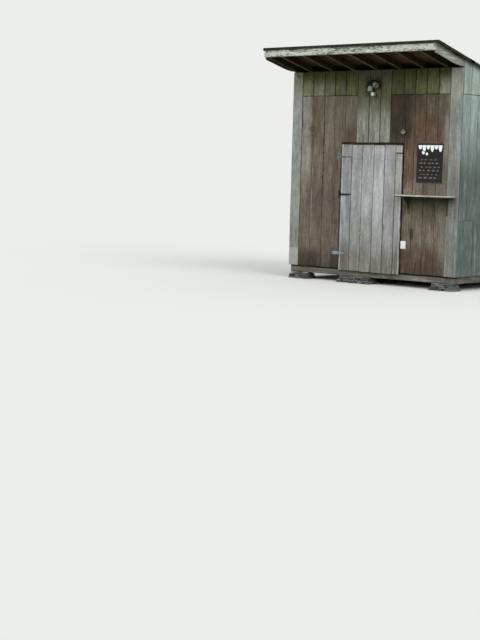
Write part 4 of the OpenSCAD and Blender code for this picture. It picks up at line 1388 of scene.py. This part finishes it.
@dataclass
class Roof:
    """Rafters, roof boards, felt, moss, fascias and barge boards.

    A strip of felt ripples a little, its lower end lies over the strip below,
    and the sink keeps it inside the CAD felt.
    """

    board: float = 0.19
    strip: float = 0.92
    lap: float = 0.09
    sheet: float = 0.0022
    lift: float = 0.0024
    sink: float = 0.0033
    ripple: float = 0.0004
    first_edge: float = 0.0018
    side_inset: float = 0.0005
    clumps: int = 38
    cushion: tuple[float, float] = (0.006, 0.022)

    def boards(self, name: str, node: str, seed: int) -> None:
        """Builds a layer of boards that run across the rafters.

        Args:
            name: Name of the piece.
            node: The CAD node that it stands for.
            seed: Seed of its random numbers.
        """
        low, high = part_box(node)
        piece = Workpiece(name, seed, Sawing(gap=0.006, bow=0.0003, cup=0.0, ragged=0.004))
        upright = high.z - low.z - SLOPE * (high.y - low.y)
        thick = upright * math.cos(PITCH)
        past = thick * SLOPE
        run = (high.y - low.y) / math.cos(PITCH) + 2 * past
        count = round(run / self.board)
        width = run / count
        start = Vector((0.0, low.y, high.z - upright / 2)) - ROOF_BACK * past
        ends = ((Vector((0.0, low.y, 0.0)), FRONT), (Vector((0.0, high.y, 0.0)), REAR))
        for i in range(count):
            cuts = ends[:1] if i == 0 else ends[1:] if i == count - 1 else ()
            piece.board(start + ROOF_BACK * (width * (i + 0.5)), -ROOF_UP, RIGHT,
                        (width - piece.sawing.gap, thick - 0.001, high.x - low.x), piece.rng.uniform(-1, 1),
                        cuts=cuts)
        piece.finish([ROOF_WOOD.build()], Body.BUILDING, "roof_timber", (node,))

    def felt(self) -> None:
        """Builds the strips of felt, each lapping over the one below it."""
        low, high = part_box("roof_felt")
        piece = Workpiece("lapped_roof_felt", 62)
        run = (high.y - low.y) / math.cos(PITCH)
        count = math.ceil(run / self.strip)
        width = run / count
        half = (high.x - low.x) / 2 - self.side_inset
        flap = high.z - low.z - SLOPE * (high.y - low.y) - 0.006
        top = Vector((0.0, low.y, high.z))
        for i in range(count):
            start = width * i if i else self.first_edge
            end = min(run, width * (i + 1) + self.lap)
            part = loose_part()
            bmesh.ops.create_grid(part, x_segments=34, y_segments=10, size=1.0)
            layer = part.verts.layers.float_vector[BOARD]
            for vert in part.verts:
                u, v = vert.co.x, (vert.co.y + 1) / 2
                along = start + (end - start) * v
                lift = self.lift * (1.0 if v > 0.9 and i < count - 1 else max(0.0, v - 0.2) * 0.4)
                ripple = self.ripple * noise.noise(Vector((u * 9, along * 6, i)))
                vert.co = top + RIGHT * (u * half) + ROOF_BACK * along + ROOF_UP * (lift - self.sink + ripple)
                vert[layer] = (0.0, 0.0, i * 0.37)
            rim = [e for e in part.edges if e.is_boundary]
            sides = [e for e in rim if all(abs(abs(v.co.x) - half) < 1e-4 for v in e.verts)]
            if i == 0:
                sides += [e for e in rim if all(v.co.y < low.y + 0.004 for v in e.verts)]
            if i == count - 1:
                sides += [e for e in rim if all(v.co.y > high.y - 0.006 for v in e.verts)]
            hem = [v for v in bmesh.ops.extrude_edge_only(part, edges=sides)["geom"]
                   if isinstance(v, bmesh.types.BMVert)]
            for vert in hem:
                vert.co.z -= flap * (0.90 + 0.20 * noise.noise(vert.co * 9.0))
                vert[layer] = (0.0, 0.0, i * 0.37)
            bmesh.ops.recalc_face_normals(part, faces=part.faces[:])
            if sum(f.normal.z for f in part.faces) < 0:
                bmesh.ops.reverse_faces(part, faces=part.faces[:])
            bmesh.ops.solidify(part, geom=part.faces[:], thickness=self.sheet)
            piece.take(part)
        piece.finish([FELT.build()], Body.BUILDING, "felt", ("roof_felt",), smooth=50.0)

    def moss(self) -> None:
        """Grows cushions of moss on the felt, most of them along its edges."""
        low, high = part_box("roof_felt")
        piece = Workpiece("moss_cushions", 63)
        rng = piece.rng
        tufts = []
        for _ in range(self.clumps):
            side = rng.choice((-1, 1, 0))
            x = side * ((high.x - low.x) / 2 - 0.05) if side else rng.uniform(low.x + 0.2, high.x - 0.2)
            y = rng.uniform(low.y + 0.12, high.y - 0.10)
            tufts += [(x + rng.gauss(0, 0.03), y + rng.gauss(0, 0.05)) for _ in range(rng.randint(2, 8))]
        for x, y in tufts:
            x = max(low.x + 0.028, min(high.x - 0.028, x))
            y = max(low.y + 0.09, min(high.y - 0.06, y))
            radius = rng.uniform(*self.cushion)
            part = loose_part()
            bmesh.ops.create_icosphere(part, subdivisions=2, radius=radius)
            shift = Vector((rng.uniform(0, 90), 0, 0))
            for vert in part.verts:
                vert.co *= 1 + 0.5 * noise.noise(vert.co * 70 + shift)
                vert.co.z *= 0.45
            top = high.z - SLOPE * (y - low.y)
            piece.take(part, Matrix.Translation((x, y, top + 0.001 - radius * 0.1)))
        piece.finish([MOSS.build()], Body.BUILDING, "felt")

    def build(self) -> None:
        """Builds the roof from the rafters up."""
        rafters = Workpiece("sawn_rafters", 60)
        rafters.worn("rafters", step=0.6, stray=0.0015)
        # The lower edges get the paler copy, painted light from below
        rafters.recoat(1, lambda face: face.normal.z < -0.6)
        rafters.finish([RAFTER_WOOD.build(), RAFTER_LIT_EDGE_WOOD.build()], Body.BUILDING, "roof_timber", ("rafters",))
        self.boards("laid_roof_boards", "roof_boards", 61)
        self.boards("laid_roof_sheathing", "roof_sheathing", 64)
        self.felt()
        self.moss()
        fascia, barge, back = FASCIA_WOOD.build(), BARGE_WOOD.build(), BARGE_SHADED_BACK_WOOD.build()
        for seed, (node, material, slot) in enumerate((
                ("front_fascia", fascia, "fascia"), ("rear_fascia", fascia, "fascia"),
                ("barge_left", barge, "barge"), ("barge_right", barge, "barge"))):
            piece = Workpiece("worn_" + node, 65 + seed)
            piece.worn(node, step=0.3, stray=0.002, tone=0.2)
            low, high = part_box(node)
            inward = -((low + high) / 2)
            inward.z = 0.0
            inward = inward.normalized() if slot == "fascia" else Vector((math.copysign(1.0, inward.x), 0.0, 0.0))
            # Inner faces, and the lower faces of the barge boards, get the darker copy: unweathered wood with painted
            # shade
            piece.recoat(1, lambda face: face.normal.dot(inward) > 0.7 or (slot == "barge" and face.normal.z < -0.7))
            piece.finish([material, back], Body.BUILDING, slot, (node,))


@dataclass
class Door:
    """The ledged and braced door."""

    seams: tuple[float, ...] = (0.980, 1.170, 1.366, 1.578, 1.772, 1.964, 2.080)
    tones: tuple[float, ...] = (-0.7, -0.1, 0.0, 0.9, 0.1, -0.1)
    joint: float = 1.738
    nail_shares: tuple[float, float] = (0.25, 0.75)
    nail_inset: float = 0.035

    def build(self) -> None:
        """Builds boards, ledges, braces and nails."""
        low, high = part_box("door_panel")
        piece = Workpiece("door_boards", 70, Sawing(gap=0.004, ragged=0.010, rim=0.009, wander=0.0009))
        gap = piece.sawing.gap / 2
        for start, end, tone in zip(self.seams, self.seams[1:], self.tones):
            x0, x1 = wall(start, 0, 0).x + gap, wall(end, 0, 0).x - gap
            # The last board is pieced together below its top
            joint = corner().z + self.joint
            pieces = [(low.z, joint), (joint, high.z)] if end == self.seams[-1] else [(low.z, high.z)]
            for z0, z1 in pieces:
                piece.board(Vector(((x0 + x1) / 2, (low.y + high.y) / 2, (z0 + z1) / 2)), FRONT, UP,
                            (x1 - x0, high.y - low.y, z1 - z0), tone, start * 2.1)
        piece.finish([DOOR_WOOD.build()], Body.DOOR, "door_boards", ("door_panel",))
        back = Workpiece("worn_door_ledges", 72)
        back.worn("door_ledges", step=0.4, stray=0.001)
        back.worn("door_braces", step=0.4, stray=0.001)
        back.finish([LEDGE_WOOD.build()], Body.DOOR, "door_back", ("door_ledges", "door_braces"))
        nails = Workpiece("door_nails", 73)
        for ledge_low, ledge_high in solids_of("door_ledges"):
            for start, end in zip(self.seams, self.seams[1:]):
                for share in self.nail_shares:
                    x = wall(start + (end - start) * share, 0, 0).x + nails.rng.uniform(-0.01, 0.01)
                    for z in (ledge_low.z + self.nail_inset, ledge_high.z - self.nail_inset):
                        nails.nail(Vector((x, low.y - 0.0012, z + nails.rng.uniform(-0.01, 0.01))), FRONT)
        nails.finish([NAIL_STEEL.build()], Body.DOOR, "hinge_steel")


@dataclass
class Hinges:
    """Three T-hinges, which keep their CAD shapes and get screws."""

    screw_radius: float = 0.0045
    leaf_inset: tuple[float, float] = (0.014, 0.012)
    strap_shares: tuple[float, ...] = (0.3, 0.6, 0.9)
    strap_thick: float = 0.0035

    def build(self) -> None:
        """Dresses leaves and straps and drives their screws."""
        steel = HINGE_STEEL.build()
        dress("hinge_leaves", steel)
        dress("hinge_straps", steel)
        fixed, moving = Workpiece("hinge_leaf_screws", 80), Workpiece("hinge_strap_screws", 81)
        for low, high in solids_of("hinge_leaves"):
            across, up = self.leaf_inset
            for z in (low.z + up, high.z - up):
                fixed.nail(Vector((low.x + across, low.y, z)), FRONT, self.screw_radius)
        for low, high in solids_of("hinge_straps"):
            middle = (low.z + high.z) / 2
            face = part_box("door_panel")[0].y - self.strap_thick
            for share in self.strap_shares:
                moving.nail(Vector((low.x + (high.x - low.x) * share, face, middle)), FRONT, self.screw_radius)
        screws = SCREW_STEEL.build()
        fixed.finish([screws], Body.BUILDING, "hinge_steel")
        moving.finish([screws], Body.DOOR, "hinge_steel")


@dataclass
class Shelf:
    """The long shelf and its two brackets."""

    shade_share: float = 0.48
    screw_shares: tuple[float, float] = (0.12, 0.45)
    web: float = 0.008
    flange: float = 0.0055

    def build(self) -> None:
        """Builds plank, brackets and screws."""
        low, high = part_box("shelf")
        plank = Workpiece("shelf_plank", 90, Sawing(arris=0.004, bow=0.003, cup=0.001, ragged=0.003))
        plank.board((low + high) / 2, UP, RIGHT, (high.y - low.y, high.z - low.z, high.x - low.x), 0.0)
        # Painted shade on the lower half of the edges and on the underside
        middle = low.z + (high.z - low.z) * self.shade_share
        slice_part(plank.whole, UP, [middle])
        plank.recoat(1, lambda face: face.normal.z < -0.5 or face.calc_center_median().z < middle)
        plank.finish([SHELF_LIT_WOOD.build(), SHELF_SHADE_WOOD.build()], Body.BUILDING, "shelf_board", ("shelf",))
        dress("shelf_brackets", BRACKET_STEEL.build())
        screws = Workpiece("bracket_screws", 91)
        for low, high in solids_of("shelf_brackets"):
            for share in self.screw_shares:
                spot = ((low.x + high.x) / 2 + self.web, high.y - self.flange, low.z + (high.z - low.z) * share)
                screws.nail(Vector(spot), FRONT)
        screws.finish([NAIL_STEEL.build()], Body.BUILDING, "bracket_steel")


@dataclass
class Sign:
    """The dark board with plain cut shapes of a generic design."""

    scallops: int = 6
    drops: tuple[float, float] = (0.060, 0.095)
    side_margin: float = 0.02
    top_margin: float = 0.03
    rows: int = 6
    row_foot: float = 0.060
    row_pitch: float = 0.052
    row_heights: tuple[float, float] = (0.020, 0.012)
    row_starts: tuple[float, float] = (0.045, 0.065)
    row_end: float = 0.09
    dash: tuple[float, float] = (0.025, 0.055)
    space: tuple[float, float] = (0.02, 0.05)
    discs: tuple[tuple[float, float, float], ...] = ((0.11, 0.43, 0.026), (0.17, 0.41, 0.020))
    sheet: float = 0.0006

    def plate(self, piece: Workpiece, outline: list[tuple[float, float]], front: float, finish: int) -> None:
        """Adds a thin flat shape on the face of the board.

        Args:
            piece: The sign.
            outline: Its corners, X and Z in the frame.
            front: Y of the board's face.
            finish: The number of its material.
        """
        part = loose_part()
        face = part.faces.new([part.verts.new((x, front, z)) for x, z in outline])
        solid = bmesh.ops.extrude_face_region(part, geom=[face])["geom"]
        for vert in (v for v in solid if isinstance(v, bmesh.types.BMVert)):
            vert.co.y -= self.sheet
        bmesh.ops.recalc_face_normals(part, faces=part.faces[:])
        piece.take(part, finish=finish)

    def build(self) -> None:
        """Builds the board and the shapes on it."""
        low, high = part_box("sign_board")
        piece = Workpiece("sign_panel", 95)
        piece.block(low, high, 0.0015, 1)
        piece.recoat(3, lambda face: face.normal.y > -0.9)
        width, front = high.x - low.x, low.y
        step = (width - 2 * self.side_margin) / self.scallops
        for i in range(self.scallops):
            middle = low.x + self.side_margin + step * (i + 0.5)
            drop = self.drops[i % 2]
            self.plate(piece, [(middle + step * 0.46 * math.cos(a), high.z - self.top_margin - drop * math.sin(a))
                               for a in (math.pi * k / 12 for k in range(13))], front, 1)
        rng = piece.rng
        for row in range(self.rows):
            z, x = low.z + self.row_foot + self.row_pitch * row, low.x + self.row_starts[row % 2]
            tall = self.row_heights[row % 2]
            while x < high.x - self.row_end:
                wide = rng.uniform(*self.dash)
                self.plate(piece, [(x, z), (x + wide, z), (x + wide, z + tall), (x, z + tall)], front, 2)
                x += wide + rng.uniform(*self.space)
        for x, z, size in self.discs:
            self.plate(piece, [(low.x + x + size * math.cos(a), low.z + z + size * math.sin(a))
                               for a in (math.tau * k / 16 for k in range(16))], front, 1)
        piece.finish([m.build() for m in (SIGN_PAINT, SIGN_WHITE, SIGN_GREY, SIGN_EDGE)], Body.BUILDING, "sign",
                     ("sign_board",))


@dataclass
class Fittings:
    """Outlet cover, peg and the twin lamp with its sensor."""

    head_radius: float = 0.040
    rod: float = 0.0054
    arms: tuple[tuple[float, float], ...] = ((-0.034, -0.034), (0.036, -0.008))
    aims: tuple[tuple[float, float], ...] = ((-6.0, 80.0), (62.0, 28.0))
    lengths: tuple[float, ...] = (0.080, 0.055)
    swivel: float = 0.024

    def outlet(self) -> None:
        """Builds the weatherproof cover with its lid and latch."""
        low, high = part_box("outlet_cover")
        piece = Workpiece("outlet_box", 100)
        depth, middle = high.y - low.y, (low.x + high.x) / 2
        # The box, the lid over it and the latch at its foot
        for start, end, arris, steps in (
                ((low.x, low.y + depth * 0.35, low.z), high, 0.004, 3),
                ((low.x + 0.004, low.y, low.z + 0.010), (high.x - 0.004, low.y + depth * 0.33, high.z - 0.004),
                 0.004, 3),
                ((middle - 0.010, low.y + 0.002, low.z + 0.001), (middle + 0.010, low.y + depth * 0.3, low.z + 0.012),
                 0.002, 2)):
            piece.block(Vector(start), Vector(end), arris, steps)
        piece.finish([COVER_PLASTIC.build()], Body.BUILDING, "outlet", ("outlet_cover",))

    def head(self, piece: Workpiece, start: Vector, aim: tuple[float, float], length: float) -> None:
        """Adds one lamp head on its arm.

        Args:
            piece: The pair of heads.
            start: Where the arm leaves the box.
            aim: Pan and downward tilt in degrees.
            length: Length of the head.
        """
        base = out_of_wall(start)
        piece.turned([(0.0, 0.0), (0.009, 0.0), (0.009, 0.020), (0.0135, self.swivel), (0.012, 0.031), (0.0, 0.036)],
                     base, steps=16, finish=2)
        turn = Matrix.Rotation(math.radians(aim[0]), 4, "Y") @ Matrix.Rotation(math.radians(aim[1]), 4, "X")
        place = base @ Matrix.Translation((0.0, 0.0, self.swivel)) @ turn
        r, n = self.head_radius, length
        piece.turned([(0.0, 0.0), (r * 0.40, 0.002), (r * 0.50, n * 0.06), (r * 0.84, n * 0.12), (r * 0.93, n * 0.18),
                      (r * 0.95, n * 0.28), (r, n * 0.36), (r, n * 0.97), (r * 0.97, n), (r * 0.91, n),
                      (r * 0.90, n * 0.93)], place, steps=40)
        piece.turned([(0.0, n * 0.90), (r * 0.5, n * 0.925), (r * 0.902, n * 0.93), (r * 0.902, n * 0.90),
                      (0.0, n * 0.86)], place, steps=40, finish=1)

    def lamp(self) -> None:
        """Builds box, heads and sensor."""
        low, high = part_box("lamp_box")
        middle = (low + high) / 2
        radius, depth = (high.x - low.x) / 2, high.y - low.y
        box = Workpiece("lamp_wall_box", 101)
        wall_side = out_of_wall(Vector((middle.x, high.y, middle.z)))
        box.turned([(0.0, 0.0), (radius - 0.003, 0.0), (radius - 0.001, depth * 0.65), (radius, depth * 0.7),
                    (radius, depth * 0.9), (radius - 0.004, depth), (0.0, depth)], wall_side, steps=48)
        box.finish([BOX_ENAMEL.build()], Body.BUILDING, "lamp_box", ("lamp_box",))
        heads = Workpiece("lamp_head_pair", 102)
        for (across, up), aim, length in zip(self.arms, self.aims, self.lengths):
            self.head(heads, Vector((middle.x + across, low.y, middle.z + up)), aim, length)
        heads.finish([LAMP_ENAMEL.build(), HEAD_LENS.build(), BOX_ENAMEL.build()], Body.BUILDING, "lamp_head",
                     ("lamp_heads",))
        low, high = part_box("lamp_sensor")
        sensor = Workpiece("lamp_movement_sensor", 103)
        size, across, rod = high.x - low.x, (low.x + high.x) / 2, self.rod
        sensor.block(low, Vector((high.x, low.y + size, low.z + size)), arris=0.006, steps=3)
        stem, rise = low.y + size / 2, high.z - low.z - size
        sensor.turned([(0.0, 0.0), (rod, 0.0), (rod, rise + 0.002), (0.0, rise + 0.004)],
                      Matrix.Translation((across, stem, low.z + size - 0.004)), steps=16, finish=2)
        sensor.turned([(0.0, 0.0), (rod, 0.0), (rod, high.y - stem), (0.0, high.y - stem)],
                      out_of_wall(Vector((across, high.y, high.z - rod))), steps=16, finish=2)
        sensor.turned([(0.0, 0.004), (0.010, 0.0035), (0.017, 0.001), (0.019, -0.002), (0.0, -0.003)],
                      out_of_wall(Vector((across, low.y + 0.003, low.z + size * 0.42))), steps=24, finish=1)
        sensor.finish([SENSOR_PLASTIC.build(), LENS_PLASTIC.build(), BOX_ENAMEL.build()], Body.BUILDING, "sensor",
                      ("lamp_sensor",))

    def build(self) -> None:
        """Builds all the fittings."""
        self.outlet()
        self.lamp()
        dress("wall_peg", PEG_WOOD.build())


# Studio


@dataclass
class Studio:
    """Pale floor, soft lamps and the camera at the photograph's angle.

    Each lamp has its name, its turn to the right, its height and its spread in
    degrees, and its strength.
    """

    lens: float = 80.04
    place: tuple[float, float, float] = (12.4885, -17.98, 1.65)
    yaw: float = -41.35
    pitch: float = 6.05
    roll: float = -1.47
    backdrop: str = "#eceeea"
    floor_paint: str = "#e7e8e2"
    shade: str = "#8d8f88"
    sky: str = "#f4f7fa"
    sky_strength: float = 0.62
    floor_size: float = 150.0
    lamps: tuple[tuple[str, float, float, float, float], ...] = (
        ("front_lamp", -8.0, 26.0, 38.0, 1.75), ("side_lamp", 75.0, 30.0, 40.0, 1.5))

    def camera(self) -> None:
        """Places the camera."""
        yaw, pitch, roll = (math.radians(a) for a in (self.yaw, self.pitch, self.roll))
        forward = Vector((math.sin(yaw) * math.cos(pitch), math.cos(yaw) * math.cos(pitch), -math.sin(pitch)))
        right = Vector((math.cos(yaw), -math.sin(yaw), 0.0))
        down = forward.cross(right)
        turned_right = math.cos(roll) * right + math.sin(roll) * down
        turned_down = -math.sin(roll) * right + math.cos(roll) * down
        data = bpy.data.cameras.new("photo_camera")
        data.lens = self.lens
        data.sensor_width = 36.0
        data.clip_end = 500.0
        camera = bpy.data.objects.new("photo_camera", data)
        aim = Matrix((turned_right, -turned_down, -forward)).transposed().to_4x4()
        camera.matrix_world = Matrix.Translation(self.place) @ aim
        bpy.context.scene.collection.objects.link(camera)
        bpy.context.scene.camera = camera

    def seen(self, tree: bpy.types.NodeTree) -> Socket:
        """Tells what the eye sees from what only lights the object.

        Args:
            tree: The node tree that it goes into.

        Returns:
            1 where a ray comes straight from the eye, off a mirror or through glass.
        """
        path = add_node(tree, "ShaderNodeLightPath").outputs
        seen = path["Is Camera Ray"]
        for other in ("Is Glossy Ray", "Is Transmission Ray"):
            seen = add_node(tree, "ShaderNodeMath", {0: seen, 1: path[other]}, operation="MAXIMUM").outputs[0]
        return seen

    def world(self) -> None:
        """Makes an even sky that looks pale to the camera."""
        world = bpy.data.worlds.new("studio_sky")
        bpy.context.scene.world = world
        world.use_nodes = True
        tree = world.node_tree
        tree.nodes.clear()
        seen = self.seen(tree)
        sky, shown = (add_node(tree, "ShaderNodeBackground", {"Color": linear(colour), "Strength": strength}).outputs[0]
                      for colour, strength in ((self.sky, self.sky_strength), (self.backdrop, 1.0)))
        mix = add_node(tree, "ShaderNodeMixShader", {0: seen, 1: sky, 2: shown}).outputs[0]
        add_node(tree, "ShaderNodeOutputWorld", {0: mix})

    def floor(self) -> None:
        """Lays a wide plain floor."""
        paint = bpy.data.materials.new("plain_floor_paint")
        paint.use_nodes = True
        tree = paint.node_tree
        tree.nodes.clear()
        seen = self.seen(tree)
        dark, pale = (add_node(tree, "ShaderNodeBsdfDiffuse", {"Color": linear(colour)}).outputs[0]
                      for colour in (self.shade, self.floor_paint))
        mix = add_node(tree, "ShaderNodeMixShader", {0: seen, 1: dark, 2: pale}).outputs[0]
        add_node(tree, "ShaderNodeOutputMaterial", {0: mix})
        part = bmesh.new()
        bmesh.ops.create_grid(part, x_segments=2, y_segments=2, size=self.floor_size)
        mesh = bpy.data.meshes.new("studio_floor")
        part.to_mesh(mesh)
        part.free()
        mesh.materials.append(paint)
        plane = bpy.data.objects.new("studio_floor", mesh)
        bpy.context.scene.collection.objects.link(plane)

    def lamp(self, name: str, turn: float, height: float, spread: float, strength: float) -> None:
        """Hangs a wide soft lamp, so far off that it lights everything alike.

        Args:
            name: Its name.
            turn: Where it stands, in degrees from straight ahead to the right.
            height: How high it stands, in degrees above the floor.
            spread: How wide it looks, in degrees.
            strength: How strongly it lights.
        """
        data = bpy.data.lights.new(name, "SUN")
        data.angle = math.radians(spread)
        data.energy = strength
        lamp = bpy.data.objects.new(name, data)
        around, up = math.radians(turn), math.radians(height)
        shine = Vector((-math.sin(around) * math.cos(up), math.cos(around) * math.cos(up), -math.sin(up)))
        lamp.matrix_world = shine.to_track_quat("-Z", "Y").to_matrix().to_4x4()
        bpy.context.scene.collection.objects.link(lamp)

    def build(self) -> None:
        """Sets up camera, sky, floor and lamps."""
        bpy.context.scene.view_settings.view_transform = "Standard"
        self.camera()
        self.world()
        self.floor()
        for values in self.lamps:
            self.lamp(*values)


def main() -> None:
    """Builds the outhouse from the ground up and sets up the studio."""
    logging.basicConfig(level=logging.INFO, format="%(name)s %(message)s")
    # Vector noise starts from the clock unless it has a seed
    noise.seed_set(NOISE_SEED)
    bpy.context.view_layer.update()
    for assembly in (Foundation, Framing, Cladding, Roof, Door, Hinges, Shelf, Sign, Fittings, Studio):
        LOG.info("%s", assembly.__name__)
        assembly().build()


if __name__ == "__main__":
    main()
